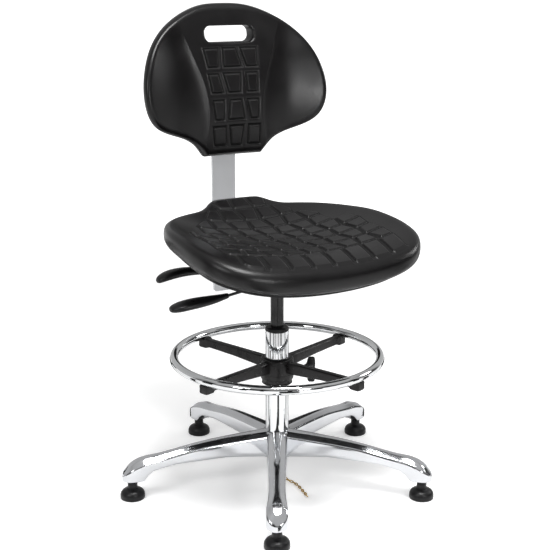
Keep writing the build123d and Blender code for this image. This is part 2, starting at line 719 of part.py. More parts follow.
with BuildPart() as guide_liner:
    with BuildSketch(Plane.XY.offset(guide_z0 - 1.5)):
        with Locations((0, bar_y)):
            Rectangle(bar_w + 4, bar_t + 3)
            Rectangle(bar_w + 0.16, bar_t + 0.16, mode=Mode.SUBTRACT)
    extrude(amount=guide_z1 - guide_z0 + 3)
    with BuildSketch(Plane.XZ.offset(-bar_y - 2)):
        with Locations((0, 470)):
            Circle(4.05)
    extrude(amount=-12, mode=Mode.SUBTRACT)
guide_liner.part.label = "guide_liner"
export_step(guide_liner.part, "parts/guide_liner.step")

with BuildPart() as back_stud:
    with BuildSketch(Plane.XZ.offset(-bar_y - bar_t / 2 - 0.3)):
        with Locations((0, 470)):
            Circle(4.0)
    extrude(amount=-26)
back_stud.part.label = "back_stud"
export_step(back_stud.part, "parts/back_stud.step")

with BuildPart() as back_knob:
    with BuildSketch(Plane.XZ.offset(-bar_y - 13)):
        with Locations((0, 470)):
            with PolarLocations(13, 6):
                Circle(8)
            Circle(15)
    extrude(amount=-20)
    with BuildSketch(Plane.XZ.offset(-bar_y - 10)):
        with Locations((0, 470)):
            Circle(4.03)
    extrude(amount=-20, mode=Mode.SUBTRACT)
back_knob.part.label = "back_knob"
export_step(back_knob.part, "parts/back_knob.step")

# ---------------------------------------------------------------- back bar and backrest
with BuildPart() as back_bar:
    with BuildSketch(Plane.XZ.offset(-bar_y + bar_t / 2)):
        with Locations((0, (bar_z0 + bar_z1) / 2)):
            RectangleRounded(bar_w, bar_z1 - bar_z0, 7)
    extrude(amount=-bar_t)
    with BuildSketch(Plane.XZ.offset(-bar_y + 10)):
        with Locations((1.5, 390)):
            Circle(3.0)
        with Locations((0, 735), (0, 790)):
            Circle(3.6)
    extrude(amount=-20, mode=Mode.SUBTRACT)
back_bar.part.label = "back_bar"
export_step(back_bar.part, "parts/back_bar.step")

with BuildPart() as stop_pin:
    with BuildSketch(Plane.XZ.offset(-bar_y + bar_t / 2 + 1.0)):
        with Locations((1.5, 390)):
            Circle(2.98)
    extrude(amount=-bar_t - 7)
stop_pin.part.label = "stop_pin"
export_step(stop_pin.part, "parts/stop_pin.step")

back_half_line = [(0, 1020), (50, 1017), (101, 1001), (151, 972), (191, 930), (213, 882), (220, 838), (214, 799),
                  (195, 770), (163, 752), (125, 739), (97, 725), (80, 709), (68, 694)]
# height, front face at the middle, thickness at the middle
back_rows = [(690, 187, 42), (760, 178, 47), (850, 184, 44), (940, 203, 38), (1026, 228, 30)]


def back_section(z, y0, thick):
    with BuildSketch(Plane.XY.offset(z)) as sk:
        with BuildLine():
            ThreePointArc((-225, y0 - 33), (0, y0), (225, y0 - 33))
            Line((225, y0 - 33), (225, y0 - 5))
            ThreePointArc((225, y0 - 5), (0, y0 + thick), (-225, y0 - 5))
            Line((-225, y0 - 5), (-225, y0 - 33))
        make_face()
    return sk.sketch


back_sections = [back_section(*row) for row in back_rows]
with BuildPart() as back_cushion:
    loft(sections=back_sections)
    with BuildSketch(Plane.XZ.offset(-320)):
        with BuildLine():
            Spline(*[(-x, z) for x, z in reversed(back_half_line[1:])], *back_half_line)
            Line((68, 694), (-68, 694))
        make_face()
        with Locations((0, slot_z)):
            RectangleRounded(slot_w, slot_h, 15, mode=Mode.SUBTRACT)
    extrude(amount=260, mode=Mode.INTERSECT)
back_body = back_cushion.part
for radius in (11, 9, 7, 5):
    try:
        rim = back_body.edges().filter_by(lambda e: e.length > 300)
        rounded = back_body.fillet(radius, rim)
        if rounded.is_valid and rounded.volume > 0.8 * back_body.volume:
            back_body = rounded
            print("back rim radius", radius)
            break
    except Exception:
        pass

with BuildPart() as back_insert:
    # stiff carrier moulded into the rear of the backrest, with the seat of the bar
    with BuildSketch(Plane.XZ.offset(-bar_y + bar_t / 2)):
        with Locations((0, 765)):
            RectangleRounded(96, 118, 12)
    extrude(amount=24)

with BuildPart() as back_cushion_cut:
    add(back_body)
    add(back_insert.part, mode=Mode.SUBTRACT)
back_cushion_cut.part.label = "back_cushion"
export_step(back_cushion_cut.part, "parts/back_cushion.step")

with back_insert:
    with BuildSketch(Plane.XZ.offset(-bar_y + bar_t / 2)):
        with Locations((0, 735), (0, 790)):
            Circle(3.05)
    extrude(amount=14, mode=Mode.SUBTRACT)
back_insert.part.label = "back_insert"
export_step(back_insert.part, "parts/back_insert.step")

with BuildPart() as back_screws:
    with BuildSketch(Plane.XZ.offset(-bar_y - bar_t / 2)):
        with Locations((0, 735), (0, 790)):
            Circle(7)
    extrude(amount=-4)
    with BuildSketch(Plane.XZ.offset(-bar_y - bar_t / 2)):
        with Locations((0, 735), (0, 790)):
            Circle(3.0)
    extrude(amount=18)
back_screws.part.label = "back_screws"
export_step(back_screws.part, "parts/back_screws.step")
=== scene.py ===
import json
import math

import bmesh
import bpy
import numpy as np
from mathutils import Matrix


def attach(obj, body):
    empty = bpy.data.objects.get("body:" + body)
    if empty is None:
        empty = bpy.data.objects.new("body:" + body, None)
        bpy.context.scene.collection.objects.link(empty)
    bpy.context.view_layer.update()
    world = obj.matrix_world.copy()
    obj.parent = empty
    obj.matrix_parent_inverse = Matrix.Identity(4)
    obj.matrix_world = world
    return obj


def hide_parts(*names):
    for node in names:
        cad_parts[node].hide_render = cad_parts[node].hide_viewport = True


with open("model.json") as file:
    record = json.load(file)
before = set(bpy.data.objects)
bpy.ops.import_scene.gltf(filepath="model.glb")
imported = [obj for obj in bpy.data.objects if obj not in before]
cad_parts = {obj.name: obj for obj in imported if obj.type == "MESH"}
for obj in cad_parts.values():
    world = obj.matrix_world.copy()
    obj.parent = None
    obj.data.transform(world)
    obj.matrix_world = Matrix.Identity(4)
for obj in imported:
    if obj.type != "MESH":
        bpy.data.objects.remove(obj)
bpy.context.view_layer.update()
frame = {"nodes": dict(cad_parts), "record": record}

# ------------------------------------------------------------------ studio
# A pale floor under plain soft light: a broad panel overhead, one in front and one on each side,
# and a dim sky, darker in front and low down, so that bright metal has something to show.
floor_mesh = bpy.data.meshes.new("studio_floor")
floor_half = 30.0
floor_mesh.from_pydata([(-floor_half, -floor_half, 0), (floor_half, -floor_half, 0),
                        (floor_half, floor_half, 0), (-floor_half, floor_half, 0)], [], [(0, 1, 2, 3)])
studio_floor = bpy.data.objects.new("studio_floor", floor_mesh)
bpy.context.scene.collection.objects.link(studio_floor)
floor_paint = bpy.data.materials.new("pale_floor_paint")
floor_paint.use_nodes = True
floor_nodes, floor_links = floor_paint.node_tree.nodes, floor_paint.node_tree.links
floor_bsdf = floor_nodes["Principled BSDF"]
floor_bsdf.inputs["Roughness"].default_value = 0.85
floor_bsdf.inputs["Specular IOR Level"].default_value = 0.15
floor_mottle = floor_nodes.new("ShaderNodeTexNoise")
floor_mottle.inputs["Scale"].default_value = 3.0
floor_tones = floor_nodes.new("ShaderNodeValToRGB")
floor_tones.color_ramp.elements[0].color = (0.90, 0.90, 0.90, 1)
floor_tones.color_ramp.elements[1].color = (0.93, 0.93, 0.93, 1)
floor_place = floor_nodes.new("ShaderNodeTexCoord")
floor_links.new(floor_place.outputs["Object"], floor_mottle.inputs["Vector"])
floor_links.new(floor_mottle.outputs["Fac"], floor_tones.inputs["Fac"])
floor_links.new(floor_tones.outputs["Color"], floor_bsdf.inputs["Base Color"])
# Far from the chair the floor gives light of its own, so it runs into the white wall unseen.
floor_far = floor_nodes.new("ShaderNodeVectorMath")
floor_far.operation = "LENGTH"
floor_fade = floor_nodes.new("ShaderNodeMapRange")
floor_fade.interpolation_type = "SMOOTHSTEP"
floor_fade.inputs["From Min"].default_value = 0.9
floor_fade.inputs["From Max"].default_value = 3.2
floor_fade.inputs["To Max"].default_value = 1.0
floor_bsdf.inputs["Emission Color"].default_value = (1, 1, 1, 1)
floor_links.new(floor_place.outputs["Object"], floor_far.inputs[0])
floor_links.new(floor_far.outputs["Value"], floor_fade.inputs["Value"])
floor_look = floor_nodes.new("ShaderNodeLightPath")
floor_lift = floor_nodes.new("ShaderNodeMath")
floor_lift.operation = "MAXIMUM"
floor_lift.inputs[1].default_value = 0.30
floor_part = floor_nodes.new("ShaderNodeMath")
floor_part.operation = "MULTIPLY"
floor_part.inputs[1].default_value = 0.45
floor_mix = floor_nodes.new("ShaderNodeMix")
floor_links.new(floor_fade.outputs["Result"], floor_lift.inputs[0])
floor_links.new(floor_fade.outputs["Result"], floor_part.inputs[0])
floor_links.new(floor_look.outputs["Is Camera Ray"], floor_mix.inputs[0])
floor_links.new(floor_part.outputs[0], floor_mix.inputs[2])
floor_links.new(floor_lift.outputs[0], floor_mix.inputs[3])
floor_links.new(floor_mix.outputs[0], floor_bsdf.inputs["Emission Strength"])
floor_mesh.materials.append(floor_paint)

sky = bpy.data.worlds.new("studio_sky")
bpy.context.scene.world = sky
sky.use_nodes = True
sky_nodes, sky_links = sky.node_tree.nodes, sky.node_tree.links
sky_place = sky_nodes.new("ShaderNodeTexCoord")
sky_split = sky_nodes.new("ShaderNodeSeparateXYZ")
sky_links.new(sky_place.outputs["Generated"], sky_split.inputs["Vector"])


def sky_ramp(steps):
    """A ramp of (place, brightness) steps, read by height or by the way round the sky."""
    ramp = sky_nodes.new("ShaderNodeValToRGB")
    while len(ramp.color_ramp.elements) < len(steps):
        ramp.color_ramp.elements.new(0.5)
    for step, (at, tone) in zip(ramp.color_ramp.elements, steps):
        step.position = at
        step.color = (tone, tone, tone, 1)
    return ramp


sky_rear = sky_ramp([(0.0, 1.0), (0.30, 0.95), (0.60, 0.8), (1.0, 1.0)])
sky_front = sky_ramp([(0.0, 0.30), (0.10, 0.05), (0.24, 0.05), (0.34, 0.45), (0.55, 0.9), (1.0, 1.0)])
sky_links.new(sky_split.outputs["Z"], sky_rear.inputs["Fac"])
sky_links.new(sky_split.outputs["Z"], sky_front.inputs["Fac"])
sky_bearing = sky_nodes.new("ShaderNodeMath")
sky_bearing.operation = "ARCTAN2"
sky_links.new(sky_split.outputs["X"], sky_bearing.inputs[0])
sky_links.new(sky_split.outputs["Y"], sky_bearing.inputs[1])
sky_round = sky_nodes.new("ShaderNodeMapRange")
sky_round.inputs["From Min"].default_value = -math.pi
sky_round.inputs["From Max"].default_value = math.pi
sky_links.new(sky_bearing.outputs[0], sky_round.inputs["Value"])
# Where the rear tone gives way to the front tone, going round from straight ahead of the sitter.
sky_share = sky_ramp([(0.0, 1.0), (0.22, 1.0), (0.34, 0.0), (0.74, 0.0), (0.84, 1.0), (1.0, 1.0)])
# Narrow dark bands by bearing, which fade out towards the top of the sky.
sky_flags = sky_ramp([(0.0, 1.0), (0.10, 1.0), (0.125, 0.12), (0.165, 0.12), (0.19, 1.0), (0.30, 1.0),
                      (0.33, 0.25), (0.36, 1.0), (0.50, 1.0), (0.70, 1.0), (0.73, 0.15), (0.77, 0.15),
                      (0.80, 1.0), (0.91, 1.0), (0.93, 0.2), (0.95, 1.0)])
sky_links.new(sky_round.outputs["Result"], sky_share.inputs["Fac"])
sky_links.new(sky_round.outputs["Result"], sky_flags.inputs["Fac"])
sky_mix = sky_nodes.new("ShaderNodeMix")
sky_mix.data_type = "RGBA"
sky_links.new(sky_share.outputs["Color"], sky_mix.inputs[0])
sky_links.new(sky_rear.outputs["Color"], sky_mix.inputs[6])
sky_links.new(sky_front.outputs["Color"], sky_mix.inputs[7])
sky_dim = sky_nodes.new("ShaderNodeMix")
sky_dim.data_type = "RGBA"
sky_dim.blend_type = "MULTIPLY"
sky_high = sky_nodes.new("ShaderNodeMapRange")
sky_high.inputs["From Min"].default_value = 0.45
sky_high.inputs["From Max"].default_value = 0.75
sky_high.inputs["To Min"].default_value = 1.0
sky_high.inputs["To Max"].default_value = 0.0
sky_links.new(sky_split.outputs["Z"], sky_high.inputs["Value"])
sky_links.new(sky_high.outputs["Result"], sky_dim.inputs[0])
sky_links.new(sky_mix.outputs[2], sky_dim.inputs[6])
sky_links.new(sky_flags.outputs["Color"], sky_dim.inputs[7])
sky_seen = sky_nodes.new("ShaderNodeLightPath")
sky_pick = sky_nodes.new("ShaderNodeMix")
sky_pick.data_type = "RGBA"
sky_pick.inputs[7].default_value = (2.2, 2.2, 2.2, 1)
sky_links.new(sky_seen.outputs["Is Camera Ray"], sky_pick.inputs[0])
sky_links.new(sky_dim.outputs[2], sky_pick.inputs[6])
sky_links.new(sky_pick.outputs[2], sky_nodes["Background"].inputs["Color"])
sky_nodes["Background"].inputs["Strength"].default_value = 0.52

for name, place, aim, size, power in (
        ("overhead_panel", (-0.15, -0.75, 2.9), (0, 0, 0.4), 0.9, 66),
        ("front_panel", (-0.10, -2.4, 1.14), (0, 0.1, 0.85), 0.45, 13),
        ("left_panel", (-2.5, -1.0, 1.9), (0, 0, 0.7), 0.8, 20),
        ("right_panel", (2.6, -0.4, 1.6), (0, 0, 0.6), 0.6, 13)):
    lamp = bpy.data.lights.new(name, "AREA")
    lamp.shape = "SQUARE"
    lamp.size = size
    lamp.energy = power
    panel = bpy.data.objects.new(name, lamp)
    bpy.context.scene.collection.objects.link(panel)
    panel.location = place
    down = np.array(aim) - np.array(place)
    panel.rotation_euler = (math.atan2(math.hypot(down[0], down[1]), -down[2]), 0,
                            math.atan2(-down[0], down[1]))
bpy.context.scene.view_settings.view_transform = "Standard"

# Narrow black flags stand round the chair and black cards lie on the floor, all well clear of it.
# They draw the dark lines that give bright metal its edge, and neither light nor shade anything.
flag_paint = bpy.data.materials.new("flag_black")
flag_paint.use_nodes = True
flag_paint.node_tree.nodes["Principled BSDF"].inputs["Base Color"].default_value = (0.004, 0.004, 0.004, 1)
flag_paint.node_tree.nodes["Principled BSDF"].inputs["Roughness"].default_value = 1.0


def black_card(name, corners):
    """A black card that shows in reflections and nowhere else."""
    mesh = bpy.data.meshes.new(name)
    mesh.from_pydata(corners, [], [(0, 1, 2, 3)])
    mesh.materials.append(flag_paint)
    card = bpy.data.objects.new(name, mesh)
    bpy.context.scene.collection.objects.link(card)
    card.visible_camera = card.visible_diffuse = card.visible_shadow = False
    card.visible_transmission = card.visible_volume_scatter = False
    return card


for number, (bearing, away, wide, low, high) in enumerate((
        (-62, 1.25, 0.16, 0.0, 1.1), (-44, 1.5, 0.10, 0.0, 1.3), (-18, 1.35, 0.10, 0.0, 0.5),
        (8, 1.5, 0.28, 0.0, 0.5), (52, 1.4, 0.20, 0.0, 1.0), (-100, 1.4, 0.30, 0.0, 1.0),
        (150, 4.0, 1.5, 0.80, 1.80), (-160, 1.9, 0.5, 0.0, 0.25))):
    out = (math.sin(math.radians(bearing)), -math.cos(math.radians(bearing)))
    side = (-out[1] * wide / 2, out[0] * wide / 2)
    studio_flag = black_card(f"studio_flag_{number}", [
        (out[0] * away + way * side[0], out[1] * away + way * side[1], height)
        for way, height in ((1, low), (-1, low), (-1, high), (1, high))])

card_near, card_far, card_height = 0.42, 2.4, 0.004
for number, (bearing, spread) in enumerate(((-19, 9), (-119, 4), (67, 5), (112, 9), (-174, 9))):
    edges = [math.radians(bearing - spread), math.radians(bearing + spread)]
    studio_card = black_card(f"studio_card_{number}", [
        (reach * math.sin(turn), -reach * math.cos(turn), card_height)
        for reach, turn in ((card_near, edges[0]), (card_far, edges[0]), (card_far, edges[1]),
                            (card_near, edges[1]))])

camera_data = bpy.data.cameras.new("studio_camera")
camera_data.lens = 75.354
camera_data.sensor_width = 36.0
camera_data.shift_x = -0.0038
camera_data.clip_end = 200.0
studio_camera = bpy.data.objects.new("studio_camera", camera_data)
bpy.context.scene.collection.objects.link(studio_camera)
camera_turn, camera_lift, camera_range = math.radians(-30.0), math.radians(14.48), 2.4355
studio_camera.location = (camera_range * math.sin(camera_turn) * math.cos(camera_lift),
                          -camera_range * math.cos(camera_turn) * math.cos(camera_lift),
                          0.4639 + camera_range * math.sin(camera_lift))
studio_camera.rotation_euler = (math.pi / 2 - camera_lift, 0, camera_turn)
bpy.context.scene.camera = studio_camera

# ------------------------------------------------------------------ star base
# Five-armed star, one aluminium die casting, ground and polished. The arms fall in a long arch
# from the hub, carry a flat crest between two ground shoulders and turn down over the glides.


def new_piece(name, points, faces, smooth=True):
    """A mesh object at the origin with its faces turned outwards."""
    mesh = bpy.data.meshes.new(name)
    mesh.from_pydata([tuple(map(float, p)) for p in points], [], faces)
    work = bmesh.new()
    work.from_mesh(mesh)
    bmesh.ops.remove_doubles(work, verts=work.verts, dist=1e-6)
    bmesh.ops.recalc_face_normals(work, faces=work.faces)
    work.to_mesh(mesh)
    work.free()
    mesh.polygons.foreach_set("use_smooth", [smooth] * len(mesh.polygons))
    piece = bpy.data.objects.new(name, mesh)
    bpy.context.scene.collection.objects.link(piece)
    return piece


def row(number, size):
    """The numbers of the points in one ring of a piece made of equal rings."""
    return range(number * size, (number + 1) * size)


def band(low, high):
    """Faces between two rings of point numbers."""
    n = len(low)
    return [(low[k], low[(k + 1) % n], high[(k + 1) % n], high[k]) for k in range(n)]


def turned(name, outline, segments=96, centre=(0, 0), keep=35):
    """A piece turned on the lathe: (radius, height) outline about an upright axis, both ends closed."""
    points, faces, rows = [], [], []
    for radius, height in outline:
        if radius < 1e-6:
            rows.append([len(points)] * segments)
            points.append((centre[0], centre[1], height))
        else:
            rows.append(list(range(len(points), len(points) + segments)))
            for k in range(segments):
                turn = 2 * math.pi * k / segments
                points.append((centre[0] + radius * math.cos(turn), centre[1] + radius * math.sin(turn),
                               height))
    closed = outline[0][0] > 1e-6 and outline[-1][0] > 1e-6
    for low, high in zip(rows, rows[1:] + (rows[:1] if closed else [])):
        for k in range(segments):
            corner = [low[k], low[(k + 1) % segments], high[(k + 1) % segments], high[k]]
            corner = list(dict.fromkeys(corner))
            if len(corner) > 2:
                faces.append(corner)
    piece = new_piece(name, points, faces)
    piece.data.set_sharp_from_angle(angle=math.radians(keep))
    return piece


def settled(piece):
    """Turns a piece with live modifiers into a plain mesh, normals kept smooth."""
    plain = bpy.data.meshes.new_from_object(piece.evaluated_get(bpy.context.evaluated_depsgraph_get()))
    piece.modifiers.clear()
    piece.data = plain
    return piece


def column_repeat(piece, count, first_angle, finish):
    """Repeats a piece evenly round the column with a node tree, then settles the result."""
    tree = bpy.data.node_groups.get("round_the_column")
    if tree is None:
        tree = bpy.data.node_groups.new("round_the_column", "GeometryNodeTree")
        face = tree.interface
        face.new_socket("Piece", in_out="INPUT", socket_type="NodeSocketGeometry")
        face.new_socket("Count", in_out="INPUT", socket_type="NodeSocketInt")
        face.new_socket("First angle", in_out="INPUT", socket_type="NodeSocketFloat")
        face.new_socket("Finish", in_out="INPUT", socket_type="NodeSocketMaterial")
        face.new_socket("Pieces", in_out="OUTPUT", socket_type="NodeSocketGeometry")
        way_in, way_out = tree.nodes.new("NodeGroupInput"), tree.nodes.new("NodeGroupOutput")
        spots = tree.nodes.new("GeometryNodePoints")
        number = tree.nodes.new("GeometryNodeInputIndex")
        share = tree.nodes.new("ShaderNodeMath")
        share.operation = "DIVIDE"
        turn = tree.nodes.new("ShaderNodeMath")
        turn.operation = "MULTIPLY_ADD"
        turn.inputs[1].default_value = 2 * math.pi
        about = tree.nodes.new("ShaderNodeCombineXYZ")
        place = tree.nodes.new("GeometryNodeInstanceOnPoints")
        real = tree.nodes.new("GeometryNodeRealizeInstances")
        paint = tree.nodes.new("GeometryNodeSetMaterial")
        tree.links.new(way_in.outputs["Count"], spots.inputs["Count"])
        tree.links.new(number.outputs["Index"], share.inputs[0])
        tree.links.new(way_in.outputs["Count"], share.inputs[1])
        tree.links.new(share.outputs[0], turn.inputs[0])
        tree.links.new(way_in.outputs["First angle"], turn.inputs[2])
        tree.links.new(turn.outputs[0], about.inputs["Z"])
        tree.links.new(spots.outputs[0], place.inputs["Points"])
        tree.links.new(way_in.outputs["Piece"], place.inputs["Instance"])
        tree.links.new(about.outputs[0], place.inputs["Rotation"])
        tree.links.new(place.outputs[0], real.inputs[0])
        tree.links.new(real.outputs[0], paint.inputs["Geometry"])
        tree.links.new(way_in.outputs["Finish"], paint.inputs["Material"])
        tree.links.new(paint.outputs[0], way_out.inputs["Pieces"])
    repeat = piece.modifiers.new("round_the_column", "NODES")
    repeat.node_group = tree
    for item in tree.interface.items_tree:
        if item.item_type == "SOCKET" and item.in_out == "INPUT":
            if item.name == "Count":
                repeat[item.identifier] = count
            elif item.name == "First angle":
                repeat[item.identifier] = math.radians(first_angle)
            elif item.name == "Finish":
                repeat[item.identifier] = finish
    return settled(piece)


def finish(name, colour, roughness, metallic=0.0, tone=0.15, tone_scale=20.0, grain=0.0, grain_scale=900.0,
           rough_spread=0.06, stretch=(1, 1, 1), **sockets):
    """A surface with slow changes of tone and roughness and a fine grain in relief."""
    paint = bpy.data.materials.new(name)
    paint.use_nodes = True
    nodes, links = paint.node_tree.nodes, paint.node_tree.links
    skin = nodes["Principled BSDF"]
    skin.inputs["Metallic"].default_value = metallic
    for socket, value in sockets.items():
        skin.inputs[socket.replace("_", " ")].default_value = value
    where = nodes.new("ShaderNodeTexCoord")
    lay = nodes.new("ShaderNodeMapping")
    lay.inputs["Scale"].default_value = stretch
    links.new(where.outputs["Object"], lay.inputs["Vector"])
    cloud = nodes.new("ShaderNodeTexNoise")
    cloud.inputs["Scale"].default_value = tone_scale
    cloud.inputs["Detail"].default_value = 5.0
    links.new(lay.outputs["Vector"], cloud.inputs["Vector"])
    tones = nodes.new("ShaderNodeValToRGB")
    tones.color_ramp.elements[0].position = 0.3
    tones.color_ramp.elements[1].position = 0.7
    tones.color_ramp.elements[0].color = tuple(c * (1 - tone) for c in colour) + (1,)
    tones.color_ramp.elements[1].color = tuple(min(1, c * (1 + tone)) for c in colour) + (1,)
    links.new(cloud.outputs["Fac"], tones.inputs["Fac"])
    links.new(tones.outputs["Color"], skin.inputs["Base Color"])
    gloss = nodes.new("ShaderNodeMapRange")
    gloss.inputs["From Min"].default_value = 0.3
    gloss.inputs["From Max"].default_value = 0.7
    gloss.inputs["To Min"].default_value = max(0.02, roughness - rough_spread)
    gloss.inputs["To Max"].default_value = roughness + rough_spread
    links.new(cloud.outputs["Fac"], gloss.inputs["Value"])
    links.new(gloss.outputs["Result"], skin.inputs["Roughness"])
    if grain:
        pits = nodes.new("ShaderNodeTexNoise")
        pits.inputs["Scale"].default_value = grain_scale
        pits.inputs["Detail"].default_value = 3.0
        relief = nodes.new("ShaderNodeBump")
        relief.inputs["Strength"].default_value = grain
        relief.inputs["Distance"].default_value = 0.0004
        links.new(lay.outputs["Vector"], pits.inputs["Vector"])
        links.new(pits.outputs["Fac"], relief.inputs["Height"])
        links.new(relief.outputs["Normal"], skin.inputs["Normal"])
    return paint


def through(spots, at):
    """A smooth curve through (place, value) spots, read at the given places."""
    x, y = np.array([s[0] for s in spots], float), np.array([s[1] for s in spots], float)
    n, gap = len(x), np.diff(x)
    left, right = np.eye(n), np.zeros(n)
    for k in range(1, n - 1):
        left[k, k - 1:k + 2] = gap[k - 1], 2 * (gap[k - 1] + gap[k]), gap[k]
        right[k] = 6 * ((y[k + 1] - y[k]) / gap[k] - (y[k] - y[k - 1]) / gap[k - 1])
    bend = np.linalg.solve(left, right)
    at = np.clip(np.asarray(at, float), x[0], x[-1])
    k = np.clip(np.searchsorted(x, at) - 1, 0, n - 2)
    h, a, b = gap[k], at - x[k], x[k + 1] - at
    return ((bend[k] * b ** 3 + bend[k + 1] * a ** 3) / (6 * h)
            + (y[k] / h - bend[k] * h / 6) * b + (y[k + 1] / h - bend[k + 1] * h / 6) * a)


polished_aluminium = finish("polished_aluminium", (0.74, 0.75, 0.77), 0.11, 1.0, tone=0.04, grain=0.04,
                            grain_scale=260, rough_spread=0.05, stretch=(1, 1, 3))

arm_crest = [(0.020, 0.1178), (0.100, 0.1135), (0.200, 0.1040), (0.270, 0.0925), (0.322, 0.0785),
             (0.3455, 0.0585)]
arm_belly = [(0.020, 0.062), (0.120, 0.0722), (0.232, 0.0700), (0.280, 0.0620), (0.292, 0.0535),
             (0.301, 0.0425), (0.306, 0.0421), (0.3455, 0.0421)]
arm_half = [(0.020, 0.0230), (0.080, 0.0208), (0.190, 0.0178), (0.260, 0.0178), (0.292, 0.0200),
            (0.310, 0.0216), (0.323, 0.0216)]
glide_out, end_round, arm_tip = 0.323, 0.0216, 0.345
shoulder_wide, shoulder_fall, blend_in, edge_round = 0.0125, 0.0095, 0.0018, 0.0030
arm_across = np.sin(np.linspace(-np.pi / 2, np.pi / 2, 33))
arm_points, arm_faces = [], []
arm_stations = np.concatenate([np.linspace(0.020, 0.270, 26), np.linspace(0.274, glide_out, 15),
                               glide_out + end_round * np.sin(np.linspace(0, np.pi / 2, 15))[1:] * 0.9995])
for reach in arm_stations:
    crest, belly = float(through(arm_crest, reach)), float(np.interp(reach, *zip(*arm_belly)))
    full = float(through(arm_half, min(reach, glide_out)))
    half = full if reach <= glide_out else math.sqrt(end_round ** 2 - (reach - glide_out) ** 2)
    ring = []
    for share in arm_across:
        x = half * share
        inset = full - abs(x) if reach <= glide_out else end_round - math.hypot(x, reach - glide_out)
        fall = min(1.0, (arm_tip - reach) / 0.07 + 0.45) if reach < arm_tip else 0.45
        slope = shoulder_fall * max(0.0, 1 - inset / shoulder_wide)
        if abs(inset - shoulder_wide) <= blend_in:
            slope = shoulder_fall / shoulder_wide * (shoulder_wide + blend_in - inset) ** 2 / (4 * blend_in)
        corner = edge_round * (1 - math.sqrt(max(0.0, 1 - (1 - min(max(inset, 0) / edge_round, 1)) ** 2)))
        ring.append((x, -reach, crest - fall * slope - corner))
    top_edge = ring[-1][2]
    wall = [(half, -reach, top_edge + (belly + 0.002 - top_edge) * t) for t in (0.25, 0.5, 0.75, 1.0)]
    foot = [(half - 0.0006 * min(1, half / 0.004), -reach, belly + 0.0006), (half * 0.92, -reach, belly)]
    keel = 0.0035 if reach < 0.27 else 0.0
    under = [(half * t, -reach, belly + keel * (1 - abs(t))) for t in (0.5, 0.0, -0.5)]
    ring = ring + wall + foot + under + [(-x, y, z) for x, y, z in (wall + foot)[::-1]]
    arm_points.append(ring)
ring_size = len(arm_points[0])
for s in range(len(arm_points) - 1):
    arm_faces += band(row(s, ring_size), row(s + 1, ring_size))
arm_faces += [tuple(row(0, ring_size)), tuple(row(len(arm_points) - 1, ring_size))]
base_star = new_piece("base_star", [p for ring in arm_points for p in ring], arm_faces)
base_star.data.set_sharp_from_angle(angle=math.radians(46))
column_repeat(base_star, 5, -30, polished_aluminium)
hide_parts("base_casting")
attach(base_star, "base")

# The hub of the same casting: a plain round boss with a bead under its top edge.
base_hub = turned("base_hub", [(0.0252, 0.066), (0.0340, 0.060), (0.0385, 0.062), (0.0390, 0.074),
                               (0.0375, 0.084),
                               (0.0345, 0.094), (0.0330, 0.104), (0.0328, 0.1125), (0.0315, 0.1150),
                               (0.0290, 0.1162), (0.0262, 0.1165), (0.0252, 0.1158)], 128, keep=60)
base_hub.data.materials.append(polished_aluminium)
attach(base_hub, "base")

# ------------------------------------------------------------------ glides
# Black moulded mushroom feet on threaded steel stems, one under the end of each arm.
# A round collar of the same plastic sits on each stem, between the foot and the arm.
moulded_black = finish("moulded_black", (0.006, 0.006, 0.0065), 0.34, tone=0.25, grain=0.25,
                       grain_scale=1500,
                       rough_spread=0.07, Specular_IOR_Level=0.32)
glide_reach = -0.323
glide_feet = turned("glide_foot", [(0, 0), (0.0240, 0), (0.0254, 0.0008), (0.0260, 0.0026),
                                   (0.0260, 0.0085), (0.0256, 0.0112), (0.0244, 0.0142), (0.0224, 0.0170),
                                   (0.0192, 0.0194), (0.0152, 0.0209), (0.0128, 0.0219), (0.0114, 0.0232),
                                   (0.0106, 0.0239), (0.0052, 0.0239), (0.0052, 0.0100), (0, 0.0100)],
                    72, (0, glide_reach), keep=50)
column_repeat(glide_feet, 5, -30, moulded_black)
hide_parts("glide_feet")
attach(glide_feet, "base")

glide_collars = turned("glide_collar", [(0.0051, 0.0241), (0.0100, 0.0241), (0.0104, 0.0246),
                                        (0.0104, 0.0340), (0.0098, 0.0344), (0.0098, 0.0350),
                                        (0.0105, 0.0355), (0.0105, 0.0410),
                                        (0.0100, 0.0418), (0.0051, 0.0418)], 48, (0, glide_reach))
column_repeat(glide_collars, 5, -30, moulded_black)
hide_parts("glide_collars")
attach(glide_collars, "base")

# ------------------------------------------------------------------ column and its guide
# The fixed outer tube of the gas lift, drawn steel with bright chrome plate, and the black
# plastic guide bush whose collar closes its top.
chrome_plate = finish("chrome_plate", (0.80, 0.81, 0.82), 0.06, 1.0, tone=0.02, tone_scale=6,
                      rough_spread=0.02)
column_tube = turned("column_tube", [(0.0226, 0.070), (0.0250, 0.066), (0.0250, 0.3415), (0.0247, 0.3426),
                                     (0.0240, 0.3430), (0.0226, 0.3430)], 128)
column_tube.data.materials.append(chrome_plate)
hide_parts("lift_column")
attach(column_tube, "base")

column_collar = turned("column_collar", [(0.01406, 0.266), (0.0224, 0.266), (0.0224, 0.3431),
                                         (0.0249, 0.3431), (0.0256, 0.3438), (0.0256, 0.3485),
                                         (0.0250, 0.3496), (0.0235, 0.3508),
                                         (0.0215, 0.3514), (0.0160, 0.3514), (0.01406, 0.3508)], 96)
column_collar.data.materials.append(moulded_black)
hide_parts("column_guide")
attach(column_collar, "base")

